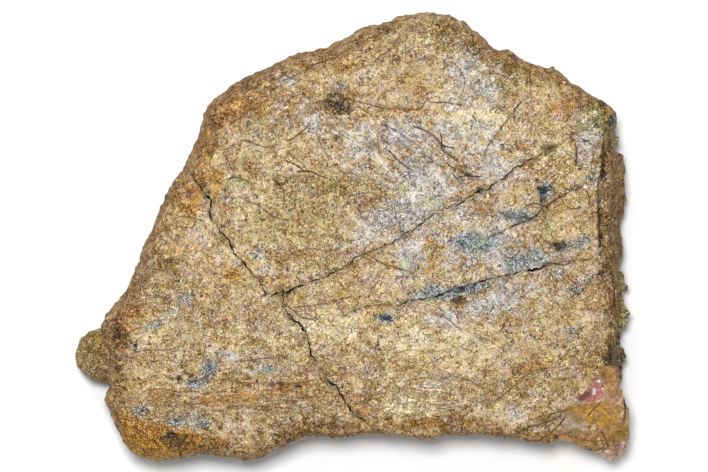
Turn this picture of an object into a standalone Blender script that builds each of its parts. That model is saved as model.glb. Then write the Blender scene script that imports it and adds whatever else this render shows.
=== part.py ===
"""A section of fossil horned-dinosaur frill bone, lying flat with its outer face up.

Metres, +Z up. The origin is under the middle of the slab, on the surface that it lies on.
"""

import math

import bmesh
import bpy
import numpy as np
from mathutils import Matrix, Vector, noise

# Driving dimensions.
WIDTH = 0.254
THICKNESS = 0.030

# The outline was read off a picture from straight above, in which the slab is this many pixels wide
# and has its middle here. Lengths in pixels below are turned into metres by PIXEL.
PIXELS_ACROSS = 553.0
MIDDLE_PX = (353.0, 236.2)
PIXEL = WIDTH / PIXELS_ACROSS
# The upper face is nearer to the eye than the outline is, so it looks this much larger than it is.
NEARNESS = 0.991

# How finely the slab is divided, across and along, and where the rows of its walls lie: 0 is the edge of the
# upper face, 0.5 the wall's furthest point and 1 the edge of the underside.
COLUMNS = 42
ROWS = 33
WALL_SHARES = (0.0, 0.035, 0.16, 0.32, 0.5, 0.68, 0.84, 1.0)

# The four sides of the outline. Each point is x, y and how far in the upper face's edge lies, in pixels.
# The other lists are spread evenly along the side. roundness is the exponent of the wall's section: 2 is
# round and above 2 is square. belly is the height of the wall's furthest point, as a share of the thickness.
# step is how much of the wall's fall is a sharp step at the upper face's edge, where the bone is broken.
TOP_MARGIN = {
    "roundness": [2.1, 2.1, 2.6],
    "belly": [0.45, 0.45, 0.5],
    "step": [0.0, 0.0, 0.05],
    "points": [
        (207, 105, 20), (213, 98, 20), (225, 90, 20), (231, 84, 20), (248, 74, 18), (270, 65.5, 16),
        (290, 56, 14), (305, 51.5, 12), (329, 46, 12), (334, 42, 12), (350, 35.5, 12), (355, 30.5, 12),
        (380, 23, 14), (392, 20, 14), (397, 16.5, 15), (412, 14.5, 16), (428, 13, 17), (448, 16, 16),
        (462, 21.5, 14), (471, 29, 12), (480, 33, 11), (490, 45, 10), (499, 50, 9), (508, 49, 8),
        (520, 57.5, 8), (535, 63, 7), (549, 67, 7), (553, 65.5, 7), (559, 70, 7), (572, 81.5, 7),
        (590, 93, 7), (605, 101.5, 7), (616, 111, 8),
    ],
}
RIGHT_BREAK = {
    "roundness": [2.6, 1.7, 1.7, 1.7, 2.0, 2.2, 2.6, 2.6],
    "belly": [0.45, 0.3, 0.26, 0.26, 0.26, 0.3, 0.36, 0.4],
    "step": [0.05, 0.26, 0.32, 0.26, 0.15, 0.1, 0.0, 0.0],
    "points": [
        (616, 111, 8), (617.5, 118, 9), (614.5, 129, 9), (616, 136, 11), (613.5, 149, 12),
        (624, 154.5, 20), (626, 172, 26), (626, 192, 28), (624.5, 215, 26), (620.5, 228, 20),
        (620.5, 240, 20), (623.5, 255, 20), (618, 272, 12), (618, 300, 9), (619, 330, 12),
        (618, 350, 12), (618, 366, 11), (620, 386, 5), (624, 396, 4), (628, 406, 4),
        (629.5, 420, 4), (629, 438, 4), (625, 450, 4), (612, 459.5, 3),
    ],
}
LOWER_EDGE = {
    "roundness": [2.2, 2.3, 2.6, 2.8, 2.6],
    "belly": [0.5, 0.5, 0.5, 0.5, 0.4],
    "step": [0.0, 0.0, 0.06, 0.06, 0.0],
    "points": [
        (126, 441, 12), (132, 448.5, 12), (142, 455, 12), (155, 458, 12), (170, 459.5, 12),
        (186, 456.5, 11), (200, 451.5, 10), (215, 454, 9), (232, 456.5, 9), (248, 459, 9),
        (260, 456.5, 9), (275, 449, 10), (290, 441, 10), (303, 434.5, 9), (318, 432.5, 8),
        (332, 435, 8), (345, 435, 7), (362, 432.5, 6), (380, 432, 6), (388, 434.5, 6),
        (400, 435, 6), (422, 436, 6), (431, 438, 6), (437, 434.5, 6), (445, 432, 6),
        (462, 431, 6), (490, 433.5, 6), (515, 436.5, 8), (530, 439.5, 10), (544, 441.5, 9),
        (552, 439, 8), (561, 437, 5), (572, 440, 5), (585, 447, 5), (600, 453, 5), (612, 459.5, 3),
    ],
}
LEFT_MARGIN = {
    "roundness": [2.2, 2.4, 2.0, 2.0, 2.1],
    "belly": [0.5, 0.5, 0.45, 0.45, 0.45],
    "step": [0.0, 0.0, 0.0, 0.0, 0.0],
    "points": [
        (126, 441, 12), (121, 430, 10), (113, 414, 9), (106.5, 400, 8), (107, 393, 8),
        (111, 385, 6), (112, 370, 8), (111, 350, 8), (107, 336, 8), (102, 325, 10),
        (106, 315, 14), (120, 298, 20), (131, 281, 20), (138, 262, 20), (143, 247, 20),
        (153, 226, 20), (163, 203, 18), (168, 186, 18), (176, 175, 18), (185, 167.5, 16),
        (193, 149, 18), (197, 140, 18), (201, 130, 18), (204, 114, 20), (207, 105, 20),
    ],
}
# How far in the underside's edge lies, all round.
UNDER_INSET_PX = 9

# Swells and hollows of the upper face: x, y, half length and half width in pixels, turn in degrees and
# rise in metres.
SWELLS = [
    (428, 58, 62, 38, 0, 0.0020),
    (185, 300, 60, 34, 60, 0.0011),
    (160, 432, 52, 22, -10, 0.0020),
    (240, 392, 110, 9, 3, 0.0013),
    (470, 330, 90, 50, 10, 0.0009),
    (300, 190, 60, 40, 20, 0.0007),
    (560, 110, 40, 20, 30, 0.0010),
    (336, 104, 26, 13, 10, -0.0022),
    (262, 365, 70, 8, -3, -0.0015),
    (208, 370, 22, 9, -30, -0.0018),
    (385, 108, 44, 4, -4, -0.0013),
    (275, 135, 44, 8, 20, -0.0012),
    (510, 218, 34, 12, 20, -0.0009),
    (215, 418, 60, 7, 2, -0.0012),
    (450, 150, 60, 9, -38, -0.0009),
    (590, 165, 10, 26, 0, -0.0016),
    (593, 212, 8, 12, 0, -0.0032),
    (420, 385, 60, 20, 0, -0.0008),
]
CROWN = 0.0030  # fall of the upper face from its middle to its edges
ROUGHNESS = 0.0007  # height of the upper face's general unevenness
ROUGHNESS_SIZE = 0.016  # distance between those rises

# The corner where the upper layers have flaked off. Each point of its edge is x and y in pixels and the share
# of the full drop there. The profile is how far beyond the edge and how far down, in metres: a short
# slope, then two ledges of the layers below.
FLAKE_EDGE = [
    (650, 338, 1.0), (622, 357, 1.0), (607, 367, 1.0), (598, 377, 1.0), (589, 389, 1.0), (578, 400, 1.0),
    (562, 409, 0.9), (536, 417, 0.75), (510, 430, 0.6), (488, 446, 0.5), (470, 470, 0.4),
]
FLAKE_PROFILE = [
    (-0.0020, -0.0018), (0.0048, 0.0043), (0.0110, 0.0051), (0.0124, 0.0064), (0.0210, 0.0078),
    (0.0290, 0.0104), (0.0700, 0.0150),
]
FLAKE_DIRECTION = (0.55, -0.835)  # the way that it falls
FLAKE_ROUGHNESS = 0.0006

# The underside lies flat in the middle and is hollowed and worn up towards the edges.
UNDER_RELIEF = 0.0022
UNDER_RELIEF_SIZE = 0.034
UNDER_CROWN = 0.0046
UNDER_FLAT = 0.0009  # how much of the relief is levelled by the ground

# Height of the roughness on the walls, how many times more a full step's wall has, and the distance between
# its rises. The bone's layers draw them out into ledges, this many times longer than they are high.
WALL_ROUGHNESS = 0.0011
BREAK_ROUGHNESS = 1.6
FULL_STEP = 0.32
WALL_ROUGHNESS_SIZE = 0.009
LEDGE_LENGTH = 3.0

# The knob of the lower layer that sticks out on the left: middle and half sizes, how square its section
# is (1 is round), and how lumpy.
KNOB_MIDDLE_PX = (112.0, 355.5)
KNOB_HALF_SIZE = (0.0160, 0.0131, 0.0098)
KNOB_HEIGHT = 0.0104
KNOB_SQUARENESS = 1.15
KNOB_LUMPINESS = 0.07

# Lumps of rock matrix on the broken side: x, y in pixels, height and half size in metres.
MATRIX_LUMPS = [
    (615.5, 283, 0.0085, 0.0048),
    (613.0, 293, 0.0100, 0.0042),
    (616.5, 314, 0.0090, 0.0055),
    (613.5, 325, 0.0080, 0.0048),
    (613.5, 357, 0.0085, 0.0049),
    (611.0, 367, 0.0070, 0.0045),
    (611.0, 343, 0.0100, 0.0042),
    (607.5, 139, 0.0140, 0.0038),
]
MATRIX_LUMPINESS = 0.35

# The open cracks: x, y in pixels and width of the opening in millimetres.
CRACKS = {
    "left": [
        (180, 162, 0.7), (190, 170, 0.7), (199, 184, 1.0), (212, 198, 1.9), (210, 219, 1.3),
        (219, 229, 1.1), (230, 239, 1.4), (235, 253, 1.2), (249, 266, 1.1), (258, 281, 1.0), (268, 295, 1.1),
    ],
    "lower": [
        (283, 289, 0.6), (285, 304, 1.1), (288, 314, 1.0), (301, 323, 1.3), (307, 334, 1.1), (311, 355, 1.1),
        (325, 375, 1.2), (337, 386, 1.1), (350, 409, 1.2), (366, 421, 0.9), (384, 438, 0.8),
    ],
    "long": [
        (262, 296, 0.6), (289, 290, 1.5), (327, 277, 0.9), (366, 252, 0.9), (394, 241, 0.9), (425, 222, 0.9),
        (435, 210, 0.8), (462, 200, 1.0), (491, 186, 1.2), (516, 168, 1.1), (549, 148, 0.8), (566, 140, 0.4),
    ],
    "right": [
        (400, 306, 0.5), (421, 300, 0.9), (454, 289, 1.1), (480, 282, 1.2), (504, 274, 1.3), (524, 270, 1.4),
        (542, 266, 1.2), (565, 260, 0.8), (596, 258, 0.5),
    ],
    "upper": [
        (532, 93, 0.4), (521, 102, 0.8), (514, 113, 0.9), (506, 123, 0.8), (496, 135, 0.8), (485, 155, 0.4),
    ],
    "short": [
        (487, 238, 0.4), (509, 228, 0.7), (536, 217, 0.7), (542, 209, 0.7), (559, 197, 0.7), (584, 186, 0.5),
    ],
}
CRACK_DEPTH = 0.0042

# Pits in the upper face: x, y in pixels and radius in metres.
PITS = [
    (183, 294, 0.0012), (190, 302, 0.0015), (198, 308, 0.0011), (231, 325, 0.0014), (258, 325, 0.0013),
    (205, 342, 0.0010), (333, 99, 0.0015), (345, 107, 0.0012), (497, 83, 0.0012), (566, 243, 0.0012),
    (148, 268, 0.0011), (160, 352, 0.0012),
]
CUTTER_CLEARANCE = 0.003  # how far a cutter stands above the upper face

FOSSIL_BONE_COLOUR = (0.50, 0.36, 0.20, 1.0)


def clear_scene():
    for old in list(bpy.data.objects):
        bpy.data.objects.remove(old, do_unlink=True)


def collection_named(name):
    made = bpy.data.collections.new(name)
    bpy.context.scene.collection.children.link(made)
    return made


def at(x_px, y_px):
    """A point of the picture as metres across and along the slab, at the height of its outline."""
    return (x_px - MIDDLE_PX[0]) * PIXEL, (MIDDLE_PX[1] - y_px) * PIXEL


def on_face(x_px, y_px):
    """The same for a point that the picture shows on the upper face."""
    across, upward = at(x_px, y_px)
    return across * NEARNESS, upward * NEARNESS


def stations(side, count):
    """count evenly spaced rows of x, y, inset, roundness, belly and step along one side, in metres."""
    points = np.array(side["points"], float)
    along = np.concatenate([[0.0], np.cumsum(np.hypot(*np.diff(points[:, :2], axis=0).T))])
    where = np.linspace(0.0, along[-1], count)
    x, y, inset = (np.interp(where, along, column) for column in points.T)
    share = np.linspace(0.0, 1.0, count)
    names = ("roundness", "belly", "step")
    kinds = [np.interp(share, np.linspace(0.0, 1.0, len(side[name])), side[name]) for name in names]
    across, upward = at(x, y)
    return np.stack([across, upward, inset * PIXEL, *kinds], axis=1)


def border():
    """The stations of the whole outline, anticlockwise from the lower left corner, none twice."""
    lower = stations(LOWER_EDGE, COLUMNS + 1)
    right = stations(RIGHT_BREAK, ROWS + 1)[::-1]
    top = stations(TOP_MARGIN, COLUMNS + 1)[::-1]
    left = stations(LEFT_MARGIN, ROWS + 1)[::-1]
    return np.concatenate([lower[:-1], right[:-1], top[:-1], left[:-1]])


def inward_directions(outline):
    """Unit vectors into the slab at each station, averaged over the neighbours so that they don't cross."""
    ahead = np.roll(outline, -1, axis=0) - np.roll(outline, 1, axis=0)
    normal = np.stack([-ahead[:, 1], ahead[:, 0]], axis=1)
    normal = sum(np.roll(normal, shift, axis=0) for shift in (-2, -1, 0, 1, 2))
    return normal / np.linalg.norm(normal, axis=1, keepdims=True)


def filled(rim):
    """The grid of points inside a closed rim: a Coons patch between its four sides, indexed [column, row]."""
    closed = np.concatenate([rim, rim[:1]])
    turn = np.cumsum([0, COLUMNS, ROWS, COLUMNS, ROWS])
    lower, right, top, left = (closed[a : b + 1] for a, b in zip(turn[:-1], turn[1:]))
    top, left = top[::-1], left[::-1]
    u = np.linspace(0.0, 1.0, COLUMNS + 1)[:, None, None]
    v = np.linspace(0.0, 1.0, ROWS + 1)[None, :, None]
    between_ends = (1 - v) * lower[:, None] + v * top[:, None]
    between_sides = (1 - u) * left[None] + u * right[None]
    corners = (1 - u) * ((1 - v) * lower[0] + v * top[0]) + u * ((1 - v) * lower[-1] + v * top[-1])
    return between_ends + between_sides - corners


def swell(x, y, mound):
    """The height that one swell or hollow adds at a point."""
    middle_x, middle_y = on_face(mound[0], mound[1])
    half_length, half_width = mound[2] * PIXEL, mound[3] * PIXEL
    turn = math.radians(mound[4])
    dx, dy = x - middle_x, y - middle_y
    along = (dx * math.cos(turn) + dy * math.sin(turn)) / half_length
    across = (dy * math.cos(turn) - dx * math.sin(turn)) / half_width
    return mound[5] * math.exp(-along * along - across * across)


def unevenness(x, y, z, size):
    """Noise between about -1 and 1 with rises this far apart."""
    return noise.fractal(Vector((x, y, z)) / size, 0.9, 2.1, 4)


def crown(x, y):
    """0 in the middle of the slab and 1 near its edges."""
    return min(1.0, (x / (0.5 * WIDTH)) ** 2 + (y / (0.4 * WIDTH)) ** 2) ** 1.5


def upper_height(x, y):
    height = THICKNESS + sum(swell(x, y, mound) for mound in SWELLS)
    height += ROUGHNESS * unevenness(x, y, 0.0, ROUGHNESS_SIZE)
    return height - CROWN * crown(x, y)


def under_height(x, y):
    relief = UNDER_RELIEF * unevenness(x, y, 1.0, UNDER_RELIEF_SIZE)
    return max(0.0, relief + UNDER_CROWN * crown(x, y) - UNDER_FLAT)


def wall_point(station, upper_rim, under_rim, share):
    """A point of the wall: share 0 is its upper rim, 0.5 its furthest point and 1 its lower rim."""
    x, y, _, roundness, belly, step = station
    upper = share < 0.5
    rim = upper_rim if upper else under_rim
    turn = math.pi * (share if upper else 1 - share)
    outwards = math.sin(turn) ** (2 / roundness)
    fall = 1 - math.cos(turn) ** (2 / roundness)
    if upper and share > 0:
        fall = step + (1 - step) * fall
    belly_height = under_rim.z + belly * (upper_rim.z - under_rim.z)
    point = rim.lerp(Vector((x, y, belly_height)), outwards)
    point.z = rim.z + (belly_height - rim.z) * fall
    return point


def roughened(point, inward, step):
    """The wall point moved in or out by the ledges of the bone's layers, which a broken wall has more of."""
    height = WALL_ROUGHNESS * (1 + (BREAK_ROUGHNESS - 1) * min(1.0, step / FULL_STEP))
    draw = LEDGE_LENGTH**0.5
    move = height * unevenness(point.x / draw, point.y / draw, point.z * draw, WALL_ROUGHNESS_SIZE)
    return point + Vector((inward[0], inward[1], 0.0)) * move


def slab_mesh():
    """A box of grid faces, shaped vertex by vertex into the slab."""
    ring = border()
    inward = inward_directions(ring[:, :2])
    upper_rim = NEARNESS * (ring[:, :2] + inward * ring[:, 2:3])
    under_rim = ring[:, :2] + inward * UNDER_INSET_PX * PIXEL
    last = len(WALL_SHARES) - 1
    sheets = {0: filled(upper_rim), last: filled(under_rim)}
    heights = {0: upper_height, last: under_height}

    shape = bmesh.new()
    bmesh.ops.create_grid(shape, x_segments=COLUMNS, y_segments=ROWS, size=0.5)
    raised = bmesh.ops.extrude_face_region(shape, geom=shape.faces[:])["geom"]
    bmesh.ops.translate(shape, verts=[v for v in raised if isinstance(v, bmesh.types.BMVert)], vec=(0, 0, 1))
    uprights = [e for e in shape.edges if abs(e.verts[0].co.z - e.verts[1].co.z) > 0.5]
    bmesh.ops.subdivide_edges(shape, edges=uprights, cuts=last - 1, use_grid_fill=True)
    bmesh.ops.recalc_face_normals(shape, faces=shape.faces[:])

    place = {}  # where on the ring each column and row of the border lies
    for step in range(COLUMNS):
        place[step, 0] = step
        place[COLUMNS - step, ROWS] = COLUMNS + ROWS + step
    for step in range(ROWS):
        place[COLUMNS, step] = COLUMNS + step
        place[0, ROWS - step] = 2 * COLUMNS + ROWS + step

    for vert in shape.verts:
        column = round((vert.co.x + 0.5) * COLUMNS)
        row = round((vert.co.y + 0.5) * ROWS)
        level = round((1 - vert.co.z) * last)
        if level in sheets:
            x, y = sheets[level][column, row]
            vert.co = (x, y, heights[level](x, y))
            continue
        index = place[column, row]
        above = Vector((*upper_rim[index], upper_height(*upper_rim[index])))
        below = Vector((*under_rim[index], under_height(*under_rim[index])))
        point = wall_point(ring[index], above, below, WALL_SHARES[level])
        vert.co = roughened(point, inward[index], ring[index][-1])

    mesh = bpy.data.meshes.new("frill_section")
    shape.to_mesh(mesh)
    shape.free()
    return mesh


def lump_mesh(name, middle, half_size, detail, reach):
    """A lump: a ball stretched to its half sizes, whose surface is at reach(direction) times them."""
    shape = bmesh.new()
    bmesh.ops.create_icosphere(shape, subdivisions=detail, radius=1.0)
    for vert in shape.verts:
        out = vert.co.normalized()
        vert.co = Vector(middle) + Vector(a * b for a, b in zip(out * reach(out), half_size))
    mesh = bpy.data.meshes.new(name)
    shape.to_mesh(mesh)
    shape.free()
    return mesh


def knob_reach(out):
    """Squarish and lumpy."""
    square = sum(abs(part) ** (2 * KNOB_SQUARENESS) for part in out) ** (-0.5 / KNOB_SQUARENESS)
    return square * (1 + KNOB_LUMPINESS * unevenness(*out, 0.9))


def matrix_reach(out):
    return 1 + MATRIX_LUMPINESS * unevenness(*out, 0.7)


def block_of_sheets(name, columns, rows, lower_point, upper_point):
    """A closed block between two sheets, each a function of its column and row."""
    shape = bmesh.new()
    bmesh.ops.create_grid(shape, x_segments=columns, y_segments=rows, size=0.5)
    raised = bmesh.ops.extrude_face_region(shape, geom=shape.faces[:])["geom"]
    lifted = [v for v in raised if isinstance(v, bmesh.types.BMVert)]
    bmesh.ops.translate(shape, verts=lifted, vec=(0, 0, 1))
    for vert in shape.verts:
        column = round((vert.co.x + 0.5) * columns)
        row = round((vert.co.y + 0.5) * rows)
        vert.co = upper_point(column, row) if vert.co.z > 0.5 else lower_point(column, row)
    bmesh.ops.triangulate(shape, faces=shape.faces[:])
    bmesh.ops.recalc_face_normals(shape, faces=shape.faces[:])
    mesh = bpy.data.meshes.new(name)
    shape.to_mesh(mesh)
    shape.free()
    return mesh


def flake_mesh():
    """What has come off the corner: its profile carried along its edge, up to above the slab."""
    away = Vector((*FLAKE_DIRECTION, 0.0))

    def point(column, row):
        x_px, y_px, share = FLAKE_EDGE[column]
        distance, depth = FLAKE_PROFILE[row]
        edge = Vector((*on_face(x_px, y_px), 0.0))
        here = edge + away * distance
        rough = FLAKE_ROUGHNESS * unevenness(here.x, here.y, 2.0, WALL_ROUGHNESS_SIZE)
        here.z = upper_height(edge.x, edge.y) - share * depth + (rough if row > 0 else 0.0)
        return here

    def lid(column, row):
        here = point(column, row)
        here.z = THICKNESS + 2 * CUTTER_CLEARANCE
        return here

    return block_of_sheets("flake", len(FLAKE_EDGE) - 1, len(FLAKE_PROFILE) - 1, point, lid)


def crack_mesh(name, points):
    """A wedge that follows a crack: at each point a triangle, open above the face and sharp at its foot."""
    track = [Vector((*on_face(x, y), 0.0)) for x, y, _ in points]
    shape = bmesh.new()
    sections = []
    for index, here in enumerate(track):
        ahead = track[min(index + 1, len(track) - 1)] - track[max(index - 1, 0)]
        side = Vector((-ahead.y, ahead.x, 0.0)).normalized()
        face = upper_height(here.x, here.y)
        half_width = 0.0005 * points[index][2] * (CRACK_DEPTH + CUTTER_CLEARANCE) / CRACK_DEPTH
        top = Vector((here.x, here.y, face + CUTTER_CLEARANCE))
        foot = Vector((here.x, here.y, face - CRACK_DEPTH))
        corners = (top + side * half_width, top - side * half_width, foot)
        sections.append([shape.verts.new(corner) for corner in corners])
    for before, after in zip(sections[:-1], sections[1:]):
        for a in range(3):
            b = (a + 1) % 3
            shape.faces.new((before[a], before[b], after[b], after[a]))
    shape.faces.new(sections[0][::-1])
    shape.faces.new(sections[-1])
    bmesh.ops.triangulate(shape, faces=shape.faces[:])
    bmesh.ops.recalc_face_normals(shape, faces=shape.faces[:])
    mesh = bpy.data.meshes.new(name)
    shape.to_mesh(mesh)
    shape.free()
    return mesh


def pits_mesh():
    """A faceted ball for each pit, sunk so that the pit is a little wider than it is deep."""
    shape = bmesh.new()
    for x_px, y_px, radius in PITS:
        x, y = on_face(x_px, y_px)
        place = Matrix.Translation((x, y, upper_height(x, y) + 0.25 * radius))
        bmesh.ops.create_icosphere(shape, subdivisions=1, radius=radius, matrix=place)
    mesh = bpy.data.meshes.new("pits")
    shape.to_mesh(mesh)
    shape.free()
    return mesh


def add_tool(name, mesh, tools):
    """An object that the slab is cut or joined with, and that isn't shown itself."""
    tool = bpy.data.objects.new(name, mesh)
    tool.hide_render = True
    tool.display_type = "WIRE"
    tools.objects.link(tool)
    return tool


def add_boolean(body, tool, operation):
    modifier = body.modifiers.new(tool.name, "BOOLEAN")
    modifier.operation = operation
    modifier.solver = "EXACT"
    modifier.object = tool


def fossil_bone_material():
    material = bpy.data.materials.new("fossil_bone")
    material.use_nodes = True
    shader = material.node_tree.nodes["Principled BSDF"]
    shader.inputs["Base Color"].default_value = FOSSIL_BONE_COLOUR
    shader.inputs["Roughness"].default_value = 0.75
    shader.inputs["Metallic"].default_value = 0.0
    return material


def main():
    clear_scene()
    parts = collection_named("fossil_frill")
    tools = collection_named("cutters")

    bone = bpy.data.objects.new("frill_section", slab_mesh())
    bone.data.materials.append(fossil_bone_material())
    parts.objects.link(bone)

    knob = lump_mesh("knob", (*at(*KNOB_MIDDLE_PX), KNOB_HEIGHT), KNOB_HALF_SIZE, 3, knob_reach)
    add_boolean(bone, add_tool("knob", knob, tools), "UNION")
    for number, (x_px, y_px, height, half_size) in enumerate(MATRIX_LUMPS, 1):
        name = f"matrix_lump_{number}"
        mesh = lump_mesh(name, (*at(x_px, y_px), height), (half_size,) * 3, 2, matrix_reach)
        add_boolean(bone, add_tool(name, mesh, tools), "UNION")
    add_boolean(bone, add_tool("flake", flake_mesh(), tools), "DIFFERENCE")
    for name, points in CRACKS.items():
        add_boolean(bone, add_tool(f"{name}_crack", crack_mesh(f"{name}_crack", points), tools), "DIFFERENCE")
    add_boolean(bone, add_tool("pits", pits_mesh(), tools), "DIFFERENCE")
    bone.data.shade_smooth()
    bone.data.set_sharp_from_angle(angle=math.radians(35))


main()
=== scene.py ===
# A section of fossil frill bone, lying on a pale floor and seen from straight above.
import functools
import math

import bpy
import numpy as np
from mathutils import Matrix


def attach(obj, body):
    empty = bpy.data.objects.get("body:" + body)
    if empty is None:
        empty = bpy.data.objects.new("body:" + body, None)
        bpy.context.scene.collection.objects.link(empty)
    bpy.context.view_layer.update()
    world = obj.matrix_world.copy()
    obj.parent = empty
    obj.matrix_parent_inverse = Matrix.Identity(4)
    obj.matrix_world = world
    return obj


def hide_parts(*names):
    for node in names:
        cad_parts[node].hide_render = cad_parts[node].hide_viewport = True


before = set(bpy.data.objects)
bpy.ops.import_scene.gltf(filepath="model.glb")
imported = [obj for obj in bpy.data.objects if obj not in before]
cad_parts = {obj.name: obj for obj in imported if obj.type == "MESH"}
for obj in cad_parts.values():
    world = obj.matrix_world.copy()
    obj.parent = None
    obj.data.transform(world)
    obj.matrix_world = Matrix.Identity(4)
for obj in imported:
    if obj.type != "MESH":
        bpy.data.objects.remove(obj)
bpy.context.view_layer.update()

# The outline and the markings were read off a picture from straight above, 708 by 472 pixels.
picture = {
    "size": (708, 472),
    "middleOfSlab": (353.0, 236.2),
    "slabAcross": 553.0,
    "slabWidth": 0.254,
    "faceScale": 0.991,  # the upper face is nearer to the eye than the outline, so it looks larger than it is
}
pixel = picture["slabWidth"] / picture["slabAcross"]
mm = 0.001
farAway = 1.0  # a distance longer than any on the slab, where a search for the nearest starts


def placed(xPx, yPx, scale=1.0):
    # metres from the slab's middle: the pixel's offset from the middle times the size of a pixel, y turned up
    x = (np.asarray(xPx, float) - picture["middleOfSlab"][0]) * pixel * scale
    y = (picture["middleOfSlab"][1] - np.asarray(yPx, float)) * pixel * scale
    return x, y


def onFace(xPx, yPx):
    return placed(xPx, yPx, picture["faceScale"])


def linear(hexColour):
    # sRGB hex to linear: each channel by the sRGB curve
    channels = [int(hexColour[start : start + 2], 16) / 255 for start in (1, 3, 5)]
    return tuple(c / 12.92 if c <= 0.04045 else ((c + 0.055) / 1.055) ** 2.4 for c in channels) + (1.0,)


def smoothStep(low, high, value):
    share = np.clip((value - low) / (high - low), 0, 1)
    return share * share * (3 - 2 * share)


def hashed(ix, iy, iz, seed):
    # a whole-number scramble of the lattice point, as a share from 0 to 1
    mixed = (ix * 374761393 + iy * 668265263 + iz * 1274126177 + seed * 974634777) & 0xFFFFFFFF
    mixed = ((mixed ^ (mixed >> 13)) * 1103515245) & 0xFFFFFFFF
    mixed = ((mixed ^ (mixed >> 16)) * 2654435769) & 0xFFFFFFFF
    return ((mixed ^ (mixed >> 15)) & 0xFFFFFF) / 0xFFFFFF


def latticeNoise(x, y, z, size, seed):
    # each lattice corner's random slope times the offset from it, blended over the cell by a quintic
    x, y, z = np.broadcast_arrays(x / size, y / size, z / size)
    corner = [np.floor(c).astype(np.int64) for c in (x, y, z)]
    offset = [c - f for c, f in zip((x, y, z), corner)]
    fade = [f**3 * (f * (6 * f - 15) + 10) for f in offset]
    total = 0.0
    for step in np.ndindex(2, 2, 2):
        place = [c + a for c, a in zip(corner, step)]
        slope = [2 * hashed(*place, seed + k) - 1 for k in (11, 23, 37)]
        value = sum(s * (o - a) for s, o, a in zip(slope, offset, step))
        total = total + value * math.prod(abs(1 - a - f) for a, f in zip(step, fade))
    return 1.6 * total


def fractal(x, y, z, size, octaves, seed, keep=0.5):
    # noise at this size, plus each next octave at half the size and keep times the height
    total = 0.0
    for octave in range(octaves):
        total = total + keep**octave * latticeNoise(x, y, z, size / 2.03**octave, seed + 101 * octave)
    return total


def evenly(columns, spacing=None, count=None):
    # the columns, x and y first, at even steps along the path, with the distance of each step from its start
    along = np.concatenate([[0.0], np.cumsum(np.hypot(np.diff(columns[0]), np.diff(columns[1])))])
    where = np.linspace(0, along[-1], count or max(4, round(along[-1] / spacing)))
    return where, [np.interp(where, along, column) for column in columns]


def acrossPath(x, y):
    # the direction to the left of the path at each point, with length 1
    wayX, wayY = np.gradient(x), np.gradient(y)
    length = np.hypot(wayX, wayY)
    return -wayY / length, wayX / length


def toRun(x, y, start, end):
    # the distance to a straight run: to its nearest point, the foot of the perpendicular or an end
    run = end - start
    share = np.clip(((x - start[0]) * run[0] + (y - start[1]) * run[1]) / (run @ run), 0, 1)
    return np.hypot(x - start[0] - share * run[0], y - start[1] - share * run[1])


def distanceToPath(x, y, path):
    nearest = np.full(np.shape(x), farAway)
    for start, end in zip(path[:-1], path[1:]):
        nearest = np.minimum(nearest, toRun(x, y, start, end))
    return nearest


def softSpots(x, y, spots):
    # the sum over the spots of strength times exp of minus the squared distance in half sizes
    total = np.zeros(np.shape(x))
    for xPx, yPx, halfLength, halfWidth, strength, *turn in spots:
        middleX, middleY = onFace(xPx, yPx)
        angle = math.radians(sum(turn))
        c, s = math.cos(angle), math.sin(angle)
        along = ((x - middleX) * c + (y - middleY) * s) / (halfLength * pixel)
        across = ((y - middleY) * c - (x - middleX) * s) / (halfWidth * pixel)
        total += strength * np.exp(-(along**2) - across**2)
    return total


def meshObject(name, points, faces):
    # points is an array of places and faces a list of arrays, each with one face to a row
    mesh = bpy.data.meshes.new(name)
    mesh.from_pydata(points.tolist(), [], [face for block in faces for face in block.tolist()])
    mesh.update()
    made = bpy.data.objects.new(name, mesh)
    bpy.context.scene.collection.objects.link(made)
    return made


def gridFaces(index, turned=False):
    # a square for each cell of a grid of point numbers, or the other way round for one that faces the other way
    squares = np.stack([index[:-1, :-1], index[1:, :-1], index[1:, 1:], index[:-1, 1:]], axis=-1).reshape(-1, 4)
    return squares[:, [0, 3, 2, 1]] if turned else squares


def borderOf(index):
    # the outer point numbers of a grid, once round from its first corner
    return np.concatenate([index[:-1, 0], index[-1, :-1], index[:0:-1, -1], index[0, :0:-1]])


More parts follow.
